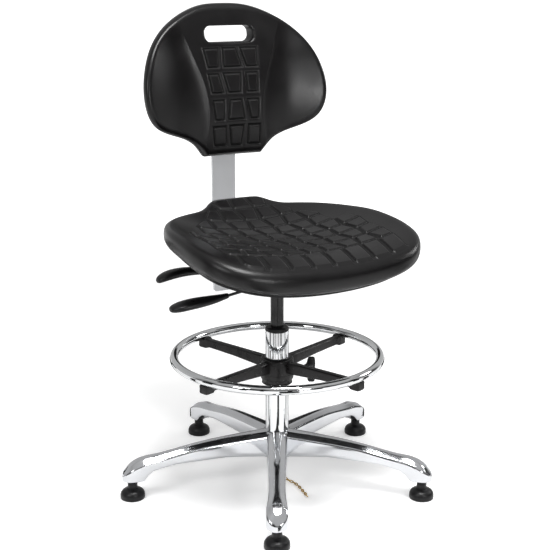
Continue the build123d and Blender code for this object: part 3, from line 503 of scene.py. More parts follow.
# The moving gas cylinder: ground steel tube with a black satin coat.
black_coat = finish("black_coat", (0.010, 0.010, 0.010), 0.28, 0.2, tone=0.2, grain=0.12, grain_scale=500,
                    rough_spread=0.06, stretch=(1, 1, 0.15))
gas_tube = turned("gas_tube", [(0.0116, 0.151), (0.0136, 0.1502), (0.0140, 0.1508), (0.0140, 0.4610),
                               (0.0132, 0.4619), (0.0116, 0.4619)], 96)
gas_tube.data.materials.append(black_coat)
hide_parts("gas_cylinder")
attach(gas_tube, "lift")

# ------------------------------------------------------------------ earthing chain
# Brass chain that drags on the floor and drains static charge: twisted oval links,
# hung from an eye under the hub.
brass = finish("brass_links", (0.60, 0.40, 0.13), 0.28, 1.0, tone=0.25, tone_scale=160, rough_spread=0.10)
chain_route = [(0, 0, 0.0485), (0.0005, -0.0005, 0.026), (0.008, -0.0195, 0.0036), (0.017, -0.049, 0.0036),
               (0.013, -0.083, 0.0036), (0.0055, -0.117, 0.0036)]
chain_curve = bpy.data.curves.new("chain_line", "CURVE")
chain_curve.dimensions = "3D"
chain_curve.resolution_u = 32
chain_spline = chain_curve.splines.new("NURBS")
chain_spline.points.add(len(chain_route) - 1)
for spot, place in zip(chain_spline.points, chain_route):
    spot.co = (*place, 1)
chain_spline.order_u = 3
chain_spline.use_endpoint_u = True
chain_guide = bpy.data.objects.new("chain_guide", chain_curve)
chain_points = np.array([v.co[:] for v in bpy.data.meshes.new_from_object(chain_guide).vertices])
chain_length = float(np.linalg.norm(np.diff(chain_points, axis=0), axis=1).sum())
link_pitch, link_wire = 0.0078, 0.00112
link_count = int((chain_length - 0.003) / link_pitch)
link_straight, link_bow = 0.00255, 0.00228
link_path = ([(link_straight + link_bow * math.sin(t) * 0.9, link_bow * math.cos(t)) for t in
              np.linspace(0, math.pi, 7)] +
             [(-link_straight - link_bow * math.sin(t) * 0.9, -link_bow * math.cos(t)) for t in
              np.linspace(0, math.pi, 7)])
link_points, link_faces, wire_sides = [], [], 8
for k, (along, across) in enumerate(link_path):
    ahead, behind = link_path[(k + 1) % len(link_path)], link_path[k - 1]
    way = np.array([ahead[0] - behind[0], ahead[1] - behind[1]])
    way /= np.linalg.norm(way)
    for j in range(wire_sides):
        turn = 2 * math.pi * j / wire_sides
        link_points.append((along + way[1] * link_wire * math.cos(turn),
                            across - way[0] * link_wire * math.cos(turn),
                            link_wire * math.sin(turn)))
for k in range(len(link_path)):
    link_faces += band(row(k, wire_sides), row((k + 1) % len(link_path), wire_sides))
chain_link = new_piece("chain_link", link_points, link_faces)

chain_tree = bpy.data.node_groups.new("links_on_line", "GeometryNodeTree")
for label, kind in (("Line", "Geometry"), ("Link", "Object"), ("Links", "Int"), ("Finish", "Material")):
    chain_tree.interface.new_socket(label, in_out="INPUT", socket_type="NodeSocket" + kind)
chain_tree.interface.new_socket("Chain", in_out="OUTPUT", socket_type="NodeSocketGeometry")
tn = {label: chain_tree.nodes.new(kind) for label, kind in (
    ("way_in", "NodeGroupInput"), ("way_out", "NodeGroupOutput"), ("curve", "GeometryNodeMeshToCurve"),
    ("points", "GeometryNodeCurveToPoints"), ("which", "GeometryNodeInputIndex"),
    ("parity", "ShaderNodeMath"), ("angle", "ShaderNodeMath"), ("aim", "FunctionNodeAlignEulerToVector"),
    ("twist", "FunctionNodeRotateEuler"), ("link", "GeometryNodeObjectInfo"),
    ("place", "GeometryNodeInstanceOnPoints"),
    ("real", "GeometryNodeRealizeInstances"), ("paint", "GeometryNodeSetMaterial"))}
tn["points"].mode = "COUNT"
tn["parity"].operation = "MODULO"
tn["parity"].inputs[1].default_value = 2.0
tn["angle"].operation = "MULTIPLY_ADD"
tn["angle"].inputs[1].default_value = math.pi / 2
tn["angle"].inputs[2].default_value = math.radians(38)
tn["aim"].axis = "X"
tn["twist"].rotation_type = "AXIS_ANGLE"
tn["twist"].space = "LOCAL"
tn["twist"].inputs["Axis"].default_value = (1, 0, 0)
for source, out_name, target, in_name in (
        ("way_in", "Line", "curve", 0), ("curve", 0, "points", 0), ("way_in", "Links", "points", "Count"),
        ("points", 0, "place", "Points"), ("points", "Tangent", "aim", "Vector"), ("aim", 0, "twist", 0),
        ("which", 0, "parity", 0), ("parity", 0, "angle", 0), ("angle", 0, "twist", "Angle"),
        ("twist", 0, "place", "Rotation"), ("way_in", "Link", "link", 0),
        ("link", "Geometry", "place", "Instance"),
        ("place", 0, "real", 0), ("real", 0, "paint", 0), ("way_in", "Finish", "paint", "Material"),
        ("paint", 0, "way_out", 0)):
    chain_tree.links.new(tn[source].outputs[out_name], tn[target].inputs[in_name])
drag_chain = new_piece("drag_chain", [(0, 0, 0)], [])
drag_chain.data.clear_geometry()
drag_chain.data.from_pydata([tuple(p) for p in chain_points],
                            [(k, k + 1) for k in range(len(chain_points) - 1)], [])
hang_links = drag_chain.modifiers.new("links_on_line", "NODES")
hang_links.node_group = chain_tree
for item in chain_tree.interface.items_tree:
    if item.item_type == "SOCKET" and item.in_out == "INPUT" and item.name != "Line":
        hang_links[item.identifier] = {"Link": chain_link, "Links": link_count, "Finish": brass}[item.name]
settled(drag_chain)
bpy.data.objects.remove(chain_link)
drag_chain.data.polygons.foreach_set("use_smooth", [True] * len(drag_chain.data.polygons))
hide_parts("ground_chain")
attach(drag_chain, "base")

# ------------------------------------------------------------------ foot ring
# One steel tube bent to a full circle, welded, ground and bright chrome plated.
# It lies in the four saddles of the spider and is held by a screw from below in each.
ring_reach, ring_height, ring_half = 0.221, 0.286, 0.0095
ring_tree = bpy.data.node_groups.new("bent_ring", "GeometryNodeTree")
for label, kind in (("Blank", "Geometry"), ("Ring radius", "Float"), ("Tube radius", "Float"),
                    ("Height", "Float"),
                    ("Finish", "Material")):
    ring_tree.interface.new_socket(label, in_out="INPUT", socket_type="NodeSocket" + kind)
ring_tree.interface.new_socket("Ring", in_out="OUTPUT", socket_type="NodeSocketGeometry")
rn = {label: ring_tree.nodes.new(kind) for label, kind in (
    ("way_in", "NodeGroupInput"), ("way_out", "NodeGroupOutput"),
    ("line", "GeometryNodeCurvePrimitiveCircle"), ("round", "GeometryNodeCurvePrimitiveCircle"),
    ("tube", "GeometryNodeCurveToMesh"), ("lift", "ShaderNodeCombineXYZ"),
    ("raise", "GeometryNodeTransform"), ("smooth", "GeometryNodeSetShadeSmooth"),
    ("real", "GeometryNodeRealizeInstances"), ("paint", "GeometryNodeSetMaterial"))}
rn["line"].inputs["Resolution"].default_value = 288
rn["round"].inputs["Resolution"].default_value = 40
for source, out_name, target, in_name in (
        ("way_in", "Ring radius", "line", "Radius"), ("way_in", "Tube radius", "round", "Radius"),
        ("line", 0, "tube", 0), ("round", 0, "tube", 1), ("way_in", "Height", "lift", "Z"),
        ("tube", 0, "raise", 0),
        ("lift", 0, "raise", "Translation"), ("raise", 0, "smooth", 0), ("smooth", 0, "real", 0),
        ("real", 0, "paint", 0), ("way_in", "Finish", "paint", "Material"), ("paint", 0, "way_out", 0)):
    ring_tree.links.new(rn[source].outputs[out_name], rn[target].inputs[in_name])
foot_ring = new_piece("foot_ring", [(0, 0, 0)], [])
bend_ring = foot_ring.modifiers.new("bent_ring", "NODES")
bend_ring.node_group = ring_tree
for item in ring_tree.interface.items_tree:
    if item.item_type == "SOCKET" and item.in_out == "INPUT" and item.name != "Blank":
        bend_ring[item.identifier] = {"Ring radius": ring_reach, "Tube radius": ring_half,
                                      "Height": ring_height,
                                      "Finish": chrome_plate}[item.name]
settled(foot_ring)
ring_work = bmesh.new()
ring_work.from_mesh(foot_ring.data)
bmesh.ops.recalc_face_normals(ring_work, faces=ring_work.faces)
ring_work.to_mesh(foot_ring.data)
ring_work.free()
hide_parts("footring")
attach(foot_ring, "footring_assembly")

# The spider: glass-filled nylon moulding. Each spoke has a flat top, a deep web that tapers
# outwards and a saddle that cups the ring from below.
spider_black = finish("spider_black", (0.0065, 0.0058, 0.006), 0.30, tone=0.3, tone_scale=45, grain=0.15,
                      grain_scale=1100, rough_spread=0.08, Specular_IOR_Level=0.34)


def softened(piece, width, rows=2, angle=30):
    """Small rounded edges, as casting, moulding and deburring leave them."""
    bevel = piece.modifiers.new("rounded_edges", "BEVEL")
    bevel.width = width
    bevel.segments = rows
    bevel.limit_method = "ANGLE"
    bevel.angle_limit = math.radians(angle)
    bevel.harden_normals = False
    return piece


spoke_stations = [(0.030, 0.2520, 0.2780, 0.0085), (0.060, 0.2540, 0.2783, 0.0080),
                  (0.120, 0.2585, 0.2790, 0.0075), (0.170, 0.2605, 0.2795, 0.0075),
                  (0.198, 0.2615, 0.2795, 0.0080), (0.2040, 0.2600, 0.2800, 0.0090),
                  (0.2058, 0.2592, 0.2812, 0.0108), (0.2105, 0.2590, 0.2822, 0.0110),
                  (0.2145, 0.2590, 0.2780, 0.0110), (0.2180, 0.2590, 0.2766, 0.0110),
                  (0.2210, 0.2590, 0.2762, 0.0110), (0.2245, 0.2592, 0.2772, 0.0110),
                  (0.2272, 0.2600, 0.2785, 0.0104), (0.2278, 0.2615, 0.2780, 0.0096)]
spoke_rings = []
for reach, low, high, half in spoke_stations:
    lip = min(0.0022, 0.2 * (high - low))
    spoke_rings.append([(-half + lip, -reach, low), (half - lip, -reach, low), (half, -reach, low + lip),
                        (half * 0.93, -reach, (low + high) / 2), (half, -reach, high - lip),
                        (half - lip, -reach, high), (-half + lip, -reach, high),
                        (-half, -reach, high - lip), (-half * 0.93, -reach, (low + high) / 2),
                        (-half, -reach, low + lip)])
spoke_sides = len(spoke_rings[0])
spoke_faces = [tuple(row(0, spoke_sides)), tuple(row(len(spoke_rings) - 1, spoke_sides))]
for s in range(len(spoke_rings) - 1):
    spoke_faces += band(row(s, spoke_sides), row(s + 1, spoke_sides))
ring_spokes = new_piece("ring_spokes", [p for ring in spoke_rings for p in ring], spoke_faces, smooth=False)
softened(ring_spokes, 0.0009, 2, 28)
settled(ring_spokes)
column_repeat(ring_spokes, 4, 19, spider_black)
ring_spokes.data.set_sharp_from_angle(angle=math.radians(40))
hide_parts("footring_hub")
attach(ring_spokes, "footring_assembly")

spider_hub = turned("spider_hub", [(0.02806, 0.2290), (0.0315, 0.2283), (0.0325, 0.2290), (0.0328, 0.2345),
                                   (0.0350, 0.2362), (0.0355, 0.2372), (0.0355, 0.2480), (0.0351, 0.2484),
                                   (0.0351, 0.2492), (0.0355, 0.2496), (0.0355, 0.2790), (0.0350, 0.2802),
                                   (0.0340, 0.2808), (0.0300, 0.2810), (0.02806, 0.2805)], 112)
spider_hub.data.materials.append(spider_black)
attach(spider_hub, "footring_assembly")

# The split bush that the hub turns on: natural black acetal, a flange below the hub.
clamp_bush = turned("clamp_bush", [(0.02506, 0.2254), (0.0322, 0.2251), (0.0329, 0.2256), (0.0329, 0.2274),
                                   (0.0280, 0.2277), (0.0280, 0.2832), (0.0274, 0.2839),
                                   (0.02506, 0.2839)], 96)
clamp_bush.data.materials.append(moulded_black)
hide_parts("footring_bush")
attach(clamp_bush, "footring_sleeve")

# Pan-head screws that hold the ring down in its saddles, zinc plated.
zinc_plate = finish("zinc_plate", (0.50, 0.51, 0.52), 0.34, 0.9, tone=0.15, tone_scale=140,
                    rough_spread=0.1)
saddle_screws = turned("saddle_screw", [(0, 0.2586), (0.0018, 0.2586), (0.0022, 0.2580), (0.0038, 0.2581),
                                        (0.0046, 0.2588), (0.0048, 0.2598), (0.0025, 0.2600),
                                        (0.0025, 0.2805), (0, 0.2808)], 32, (0, -ring_reach))
column_repeat(saddle_screws, 4, 19, zinc_plate)
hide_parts("ring_screws")
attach(saddle_screws, "footring_assembly")

# Clamp of the foot ring: a threaded stud and a two-winged moulded handle, on a radial axis.
knob_turn, knob_height = math.radians(64), 0.252


def about_radius(points, height=knob_height, turn=knob_turn):
    """Points given as (outwards, across, up) from the column's axis, set at the knob's angle."""
    out, side = (math.sin(turn), -math.cos(turn)), (math.cos(turn), math.sin(turn))
    return [(o * out[0] + s * side[0], o * out[1] + s * side[1], u + height) for o, s, u in points]


wing_rings = []
for tall, wide, out_low, out_high in (
        (-0.0284, 0.0022, 0.0700, 0.0790), (-0.0270, 0.0046, 0.0670, 0.0815),
        (-0.0205, 0.0056, 0.0650, 0.0828), (-0.0125, 0.0060, 0.0640, 0.0830),
        (-0.0085, 0.0080, 0.0560, 0.0828), (-0.0050, 0.0092, 0.0512, 0.0825),
        (0.0, 0.0095, 0.0502, 0.0825), (0.0050, 0.0092, 0.0512, 0.0825), (0.0085, 0.0080, 0.0560, 0.0828),
        (0.0125, 0.0060, 0.0640, 0.0830), (0.0205, 0.0056, 0.0650, 0.0828),
        (0.0270, 0.0046, 0.0670, 0.0815),
        (0.0284, 0.0022, 0.0700, 0.0790)):
    middle, half_out = (out_low + out_high) / 2, (out_high - out_low) / 2
    wing_rings.append(about_radius([(middle + half_out * math.copysign(abs(math.cos(t)) ** 0.55,
                                                                       math.cos(t)),
                                     wide * math.copysign(abs(math.sin(t)) ** 0.7, math.sin(t)), tall)
                                    for t in np.linspace(0, 2 * math.pi, 20, endpoint=False)]))


def skinned(name, rings, levels=2):
    """A closed skin over a row of rings of equal size, rounded by subdivision."""
    size = len(rings[0])
    faces = [tuple(row(0, size)), tuple(row(len(rings) - 1, size))]
    for s in range(len(rings) - 1):
        faces += band(row(s, size), row(s + 1, size))
    piece = new_piece(name, [p for ring in rings for p in ring], faces)
    round_off = piece.modifiers.new("rounding", "SUBSURF")
    round_off.levels = round_off.render_levels = levels
    return settled(piece)


wing_handle = skinned("wing_handle", wing_rings)
wing_handle.data.materials.append(moulded_black)
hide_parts("clamp_knob")
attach(wing_handle, "footring_clamp")



def tube_along(name, path, radii, sides=24):
    """A round bar that follows a path, with a radius for each of its points and both ends closed."""
    path = np.array(path, float)
    n = len(path)
    points, faces, side = [], [], None
    for k in range(n):
        ahead, behind = path[min(k + 1, n - 1)], path[max(k - 1, 0)]
        way = (ahead - behind) / np.linalg.norm(ahead - behind)
        if side is None:
            side = np.cross(way, (0, 0, 1))
        side = side - way * (side @ way)
        side /= np.linalg.norm(side)
        up = np.cross(side, way)
        for j in range(sides):
            turn = 2 * math.pi * j / sides
            points.append(path[k] + radii[k] * (math.cos(turn) * side + math.sin(turn) * up))
    for k in range(n - 1):
        faces += band(row(k, sides), row(k + 1, sides))
    faces += [tuple(row(0, sides)), tuple(row(n - 1, sides))]
    return new_piece(name, points, faces)


# Moulded boss of the spider that the stud runs through.
stud_boss = tube_along("stud_boss", about_radius([(0.0335, 0, 0), (0.0405, 0, 0), (0.0408, 0, 0)]),
                       [0.0090, 0.0088, 0.0080], 40)
stud_boss.data.set_sharp_from_angle(angle=math.radians(40))
stud_boss.data.materials.append(spider_black)
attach(stud_boss, "footring_assembly")

# ------------------------------------------------------------------ seat mechanism, as the frame gives it
# Pressed and welded steel under the seat, powder coated black, with the back arm and its guide.
# Turned pins are bare steel, the stop pin is blackened, and bolts and studs are zinc plated.
powder_coat = finish("powder_coat", (0.020, 0.020, 0.021), 0.48, tone=0.2, grain=0.5, grain_scale=700,
                     rough_spread=0.05)
plain_steel = finish("plain_steel", (0.42, 0.42, 0.43), 0.30, 1.0, tone=0.1, tone_scale=90, grain=0.1,
                     grain_scale=400, rough_spread=0.08)
slot_finish = {"black_steel": powder_coat, "black_plastic": moulded_black, "black_nylon": spider_black,
               "zinc_steel": zinc_plate, "steel": plain_steel, "chrome": chrome_plate, "brass": brass,
               "polished_aluminium": polished_aluminium}
node_slot = {row["node"]: row["material_slot"] for row in frame["record"]["subparts"]}
for node, solid in frame["nodes"].items():
    if node_slot[node] in slot_finish:
        solid.data.materials.clear()
        solid.data.materials.append(black_coat if node == "stop_pin" else slot_finish[node_slot[node]])

# ------------------------------------------------------------------ levers
# Bent steel rods with broad black paddles pushed on: the front one releases the lift,
# the rear one the back angle.


def paddle(name, stations, body):
    """A paddle grip: an oval skin over (centre, half width, half thickness) stations."""
    rings = []
    for centre, half_wide, half_thick in stations:
        rings.append([(centre[0], centre[1] + half_wide * math.cos(t),
                       centre[2] + half_thick * math.copysign(abs(math.sin(t)) ** 0.8, math.sin(t)))
                      for t in np.linspace(0, 2 * math.pi, 16, endpoint=False)])
    grip = skinned(name, rings)
    grip.data.materials.append(moulded_black)
    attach(grip, body)
    return grip


height_paddle = paddle("height_paddle", [
    ((-0.1455, -0.056, 0.4528), 0.0045, 0.0040), ((-0.1475, -0.056, 0.4526), 0.0068, 0.0055),
    ((-0.158, -0.056, 0.4512), 0.0082, 0.0062), ((-0.172, -0.056, 0.4497), 0.0122, 0.0075),
    ((-0.190, -0.055, 0.4482), 0.0172, 0.0088), ((-0.212, -0.054, 0.4468), 0.0208, 0.0096),
    ((-0.232, -0.052, 0.4448), 0.0218, 0.0097), ((-0.250, -0.051, 0.4424), 0.0205, 0.0092),
    ((-0.263, -0.050, 0.4402), 0.0168, 0.0078), ((-0.2700, -0.049, 0.4386), 0.0105, 0.0056),
    ((-0.2715, -0.049, 0.4382), 0.0050, 0.0030)], "height_lever")
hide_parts("height_grip")

tilt_paddle = paddle("tilt_paddle", [
    ((-0.1055, 0.079, 0.4684), 0.0050, 0.0040), ((-0.1080, 0.079, 0.4686), 0.0078, 0.0055),
    ((-0.122, 0.0788, 0.4706), 0.0100, 0.0064), ((-0.140, 0.0785, 0.4734), 0.0132, 0.0074),
    ((-0.160, 0.078, 0.4760), 0.0158, 0.0084), ((-0.180, 0.078, 0.4770), 0.0175, 0.0092),
    ((-0.200, 0.0775, 0.4762), 0.0186, 0.0096), ((-0.218, 0.077, 0.4738), 0.0184, 0.0095),
    ((-0.232, 0.0765, 0.4700), 0.0160, 0.0084), ((-0.2405, 0.076, 0.4664), 0.0115, 0.0062),
    ((-0.2430, 0.076, 0.4650), 0.0060, 0.0034)], "tilt_lever")
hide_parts("tilt_grip")

# ------------------------------------------------------------------ back bar
# Flat bright-plated steel bar with rounded corners and a hole for the stop pin near its foot.
# The backrest is screwed to its top, and it slides up and down in the guide of the back arm.
bright_bar = finish("bright_bar", (0.80, 0.81, 0.83), 0.46, 0.30, tone=0.05, tone_scale=12, grain=0.1,
                    grain_scale=300, rough_spread=0.05, stretch=(1, 1, 0.08))
frame["nodes"]["back_bar"].data.materials.clear()
frame["nodes"]["back_bar"].data.materials.append(bright_bar)

# Star knob that clamps the bar in its guide: six moulded lobes on a steel stud.
lobe_rings = []
for out, big in ((0.2552, 0.60), (0.2558, 0.92), (0.2575, 1.0), (0.2700, 1.0), (0.2735, 0.95),
                 (0.2749, 0.80), (0.2750, 0.45)):
    lobe_rings.append([((0.0168 + 0.0040 * math.cos(6 * t)) * big * math.cos(t), out,
                        0.470 + (0.0168 + 0.0040 * math.cos(6 * t)) * big * math.sin(t))
                       for t in np.linspace(0, 2 * math.pi, 72, endpoint=False)])
star_knob = skinned("star_knob", lobe_rings, 1)
star_knob.data.materials.append(moulded_black)
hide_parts("back_knob")
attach(star_knob, "back_clamp")

# ------------------------------------------------------------------ seat cushion
# Moulded polyurethane foam with its own tough skin. The seat is dished, falls away at the front,
# rises to a short tail behind, and its top carries rows of raised pads that let air through.
foam_skin = finish("foam_skin", (0.0026, 0.0022, 0.0025), 0.32, tone=0.18, tone_scale=14, grain=0.12,
                   grain_scale=1700, rough_spread=0.045, Specular_IOR_Level=0.36)
# Painted shade: in the narrow grooves between the pads the skin is painted darker, and it is rougher there
# too.
foam_nodes, foam_links = foam_skin.node_tree.nodes, foam_skin.node_tree.links
foam_groove_shade = foam_nodes.new("ShaderNodeAttribute")
foam_groove_shade.attribute_name = "groove_shade"
for socket, depth, kind in (("Base Color", 0.80, "RGBA"), ("Roughness", 0.9, "FLOAT")):
    before = foam_nodes["Principled BSDF"].inputs[socket].links[0].from_socket
    groove_shade_and_dull = foam_nodes.new("ShaderNodeMix")
    groove_shade_and_dull.data_type = kind
    share = foam_nodes.new("ShaderNodeMath")
    share.operation = "MULTIPLY"
    share.inputs[1].default_value = depth
    foam_links.new(foam_groove_shade.outputs["Fac"], share.inputs[0])
    foam_links.new(share.outputs[0], groove_shade_and_dull.inputs[0])
    if kind == "RGBA":
        foam_links.new(before, groove_shade_and_dull.inputs[6])
        # Painted shade: the near-black colour laid into the grooves.
        groove_shade_and_dull.inputs[7].default_value = (0.0004, 0.0004, 0.0004, 1)
        foam_links.new(groove_shade_and_dull.outputs[2], foam_nodes["Principled BSDF"].inputs[socket])
    else:
        foam_links.new(before, groove_shade_and_dull.inputs[2])
        groove_shade_and_dull.inputs[3].default_value = 0.95
        foam_links.new(groove_shade_and_dull.outputs[0], foam_nodes["Principled BSDF"].inputs[socket])
seat_half_line = [(0, .200), (.050, .198), (.068, .191), (.086, .177), (.109, .164), (.151, .149),
                  (.186, .129), (.214, .098), (.234, .055), (.248, .004), (.254, -.060), (.253, -.120),
                  (.241, -.174), (.208, -.215), (.161, -.237), (.090, -.248), (0, -.251)]
seat_rows = [(-.257, .528, .538, .482, .512), (-.200, .541, .561, .484, .523),
             (-.120, .545, .579, .487, .531), (0, .546, .594, .489, .547), (.100, .562, .602, .492, .554),
             (.160, .588, .609, .506, .559), (.208, .613, .619, .542, .570)]


def closed_line(half_line, dense=40):
    """The whole smooth outline from its right half, as many points."""
    ring = half_line + [(-x, y) for x, y in half_line[-2:0:-1]]
    ring = np.array(ring)
    n, out = len(ring), []
    for k in range(n):
        p0, p1, p2, p3 = ring[k - 1], ring[k], ring[(k + 1) % n], ring[(k + 2) % n]
        for t in np.arange(dense) / dense:
            out.append(0.5 * (2 * p1 + (p2 - p0) * t + (2 * p0 - 5 * p1 + 4 * p2 - p3) * t ** 2
                              + (3 * p1 - p0 - 3 * p2 + p3) * t ** 3))
    return np.array(out)


def reach_at(line, centre, angles):
    """How far the outline is from the centre at each angle."""
    rel = line - np.array(centre)
    turn = np.unwrap(np.arctan2(rel[:, 1], rel[:, 0]))
    if turn[-1] < turn[0]:
        turn, rel = turn[::-1], rel[::-1]
    far = np.hypot(rel[:, 0], rel[:, 1])
    turn, far = np.append(turn, turn[0] + 2 * np.pi), np.append(far, far[0])
    return np.interp((angles - turn[0]) % (2 * np.pi) + turn[0], turn, far)


def seat_top(x, y):
    middle = through([(r[0], r[1]) for r in seat_rows], y)
    edge = through([(r[0], r[2]) for r in seat_rows], y)
    return middle + (edge - middle) * (x / 0.262) ** 2


def seat_under(x, y):
    middle = through([(r[0], r[3]) for r in seat_rows], y)
    edge = through([(r[0], r[4]) for r in seat_rows], y)
    return middle + (edge - middle) * (x / 0.262) ** 2


def pad_rise(inside, proud=0.0036, shoulder=0.0034):
    """Height of a raised pad from the distance inside its edge: a rounded shoulder and a flat top."""
    s = np.clip(inside / shoulder, 0, 1)
    return proud * np.sqrt(1 - (1 - s) ** 2)


padded_half = [(-.236, .140), (-.205, .182), (-.165, .206), (-.120, .216), (-.060, .214), (0, .200),
               (.050, .172), (.090, .136), (.120, .104), (.150, .082), (.175, .068), (.200, .060)]


def seat_pads(x, y):
    """Raised pads of the seat: one row of long slanting ones in front and rows of short ones behind it, and
    a mask of painted shade in the grooves round them.
    """
    field = np.interp(y, [p[0] for p in padded_half], [p[1] for p in padded_half]) - np.abs(x)
    nearest = np.full(x.shape, -1.0)
    bow = 0.38
    level = y - bow * x ** 2
    rows = [(-.234, -.166, .0470)] + [(-.159 + .0440 * k, -.122 + .0440 * k, .0435) for k in range(9)]
    for r, (low, high, pitch) in enumerate(rows):
        mid, half_deep = (low + high) / 2, (high - low) / 2
        for c in range(-5, 6):
            centre = (c + (0.5 if r == 0 else 0.0)) * pitch
            if abs(centre) > np.interp(mid + bow * centre ** 2 * 0.6, [p[0] for p in padded_half],
                                       [p[1] for p in padded_half]) - 0.006:
                continue
            along = (level - mid) / half_deep
            slant = (0.0060 if r == 0 else 0.0015 * ((r * 2 + c) % 3 - 1)) * along
            lean = 0.0 if r == 0 else (1 if (r + c) % 2 else -1) * 0.0032
            half_wide = pitch / 2 - 0.0042 + lean * along
            inside = np.minimum(half_wide - np.abs(x - centre - slant), half_deep - np.abs(level - mid))
            nearest = np.maximum(nearest, np.minimum(inside, field))
    rise = np.where(nearest > 0, pad_rise(nearest), -0.0002)
    # The second value marks the grooves round the pads, where shade is painted into the skin.
    return rise, np.clip(1 - (np.abs(nearest + 0.0022) - 0.0012) / 0.0020, 0, 1)


seat_grid, seat_centre = 352, (0.0, -0.020)
seat_line = closed_line(seat_half_line)
u, v = np.meshgrid(np.linspace(-1, 1, seat_grid + 1), np.linspace(-1, 1, seat_grid + 1))
disc_reach = np.maximum(np.abs(u), np.abs(v))
with np.errstate(divide="ignore", invalid="ignore"):
    disc_turn = np.where(np.abs(u) >= np.abs(v),
                         np.pi / 4 * np.where(u != 0, v / u, 0) + np.where(u < 0, np.pi, 0),
                         np.pi / 2 * np.sign(v) - np.pi / 4 * np.where(v != 0, u / v, 0))
round_x, round_y = disc_reach * np.cos(disc_turn), disc_reach * np.sin(disc_turn)
disc_turn = np.arctan2(round_y, round_x)
rim_band = 0.024
outer = reach_at(seat_line, seat_centre, disc_turn) - rim_band
top_x = seat_centre[0] + outer * disc_reach * np.cos(disc_turn)
top_y = seat_centre[1] + outer * disc_reach * np.sin(disc_turn)
top_pads, top_groove_shade = seat_pads(top_x, top_y)
top_z = seat_top(top_x, top_y) + top_pads
cushion_points = list(np.stack([top_x.ravel(), top_y.ravel(), top_z.ravel()], 1))
wide = seat_grid + 1
cushion_faces = [(j * wide + i, j * wide + i + 1, (j + 1) * wide + i + 1, (j + 1) * wide + i)
                 for j in range(seat_grid) for i in range(seat_grid)]
border = ([(0, i) for i in range(seat_grid)] + [(j, seat_grid) for j in range(seat_grid)] +
          [(seat_grid, i) for i in range(seat_grid, 0, -1)] + [(j, 0) for j in range(seat_grid, 0, -1)])
last_ring = [j * wide + i for j, i in border]
border_turn = np.array([disc_turn[j, i] for j, i in border])
border_reach = reach_at(seat_line, seat_centre, border_turn)
ring_turns = np.linspace(0, np.pi, 19)[1:]
for lean in ring_turns:
    inset = rim_band * (1 - np.sin(lean) ** 0.82)
    ring_x = seat_centre[0] + (border_reach - inset) * np.cos(border_turn)
    ring_y = seat_centre[1] + (border_reach - inset) * np.sin(border_turn)
    high, low = seat_top(ring_x, ring_y), seat_under(ring_x, ring_y)
    bulge = np.sign(np.cos(lean)) * abs(np.cos(lean)) ** 0.82
    ring_z = (high + low) / 2 + (high - low) / 2 * bulge
    start = len(cushion_points)
    cushion_points += list(np.stack([ring_x, ring_y, ring_z], 1))
    fresh = list(range(start, start + len(border)))
    cushion_faces += band(last_ring, fresh)
    last_ring = fresh
for share in (0.93, 0.84, 0.72, 0.58, 0.44, 0.30, 0.17, 0.07):
    ring_x = seat_centre[0] + (border_reach - rim_band) * share * np.cos(border_turn)
    ring_y = seat_centre[1] + (border_reach - rim_band) * share * np.sin(border_turn)
    start = len(cushion_points)
    cushion_points += list(np.stack([ring_x, ring_y, seat_under(ring_x, ring_y)], 1))
    fresh = list(range(start, start + len(border)))
    cushion_faces += band(last_ring, fresh)
    last_ring = fresh
pole = len(cushion_points)
pole_height = float(seat_under(np.array(0.0), np.array(seat_centre[1])))
cushion_points.append(np.array([seat_centre[0], seat_centre[1], pole_height]))
cushion_faces += [(last_ring[k], last_ring[(k + 1) % len(border)], pole) for k in range(len(border))]
seat_foam = new_piece("seat_foam", cushion_points, cushion_faces)
# The grooves of the top get painted shade through this point attribute.
seat_groove_shade = np.zeros(len(seat_foam.data.vertices))
seat_groove_shade[:top_groove_shade.size] = top_groove_shade.ravel()
seat_foam.data.attributes.new("groove_shade", "FLOAT", "POINT").data.foreach_set("value", seat_groove_shade)
seat_foam.data.materials.append(foam_skin)
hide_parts("seat_cushion")
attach(seat_foam, "seat")

# ------------------------------------------------------------------ backrest
# The same moulded foam round a stiff insert: two scooped wings, a waisted middle panel with
# twelve raised pads, and a hand slot through the top.
back_half_line = [(0, 1.020), (.050, 1.017), (.101, 1.001), (.151, .972), (.191, .930), (.213, .882),
                  (.220, .838), (.214, .799), (.195, .770), (.163, .752), (.125, .739), (.097, .725),
                  (.080, .709), (.068, .6945)]
back_rows = [(.690, .187, .042), (.760, .178, .047), (.850, .184, .044), (.940, .203, .038),
             (1.026, .228, .030)]
panel_half = [(.690, .072), (.730, .072), (.760, .067), (.790, .065), (.820, .067), (.850, .073),
              (.880, .083), (.910, .095), (.945, .108), (.985, .124), (1.03, .140)]
slot_half_wide, slot_half_high, slot_round, slot_centre = 0.058, 0.017, 0.015, (0.0, 0.9555)
back_pads = [
    ((-.067, .925), (-.033, .925), (-.036, .888), (-.060, .888)),
    ((-.020, .925), (.010, .925), (.020, .888), (-.021, .888)),
    ((.023, .925), (.060, .925), (.058, .888), (.034, .888)),
    ((-.061, .871), (-.038, .871), (-.029, .834), (-.055, .834)),
    ((-.024, .872), (.016, .872), (.013, .834), (-.014, .834)),
    ((.031, .872), (.056, .872), (.054, .834), (.032, .834)),
    ((-.054, .815), (-.029, .815), (-.031, .776), (-.049, .776)),
    ((-.011, .815), (.014, .815), (.020, .776), (-.017, .776)),
    ((.030, .815), (.055, .815), (.053, .776), (.038, .776)),
    ((-.055, .758), (-.026, .758), (-.024, .720), (-.050, .720)),
    ((-.014, .759), (.018, .759), (.013, .719), (-.009, .719)),
    ((.032, .759), (.058, .759), (.058, .720), (.031, .720))]


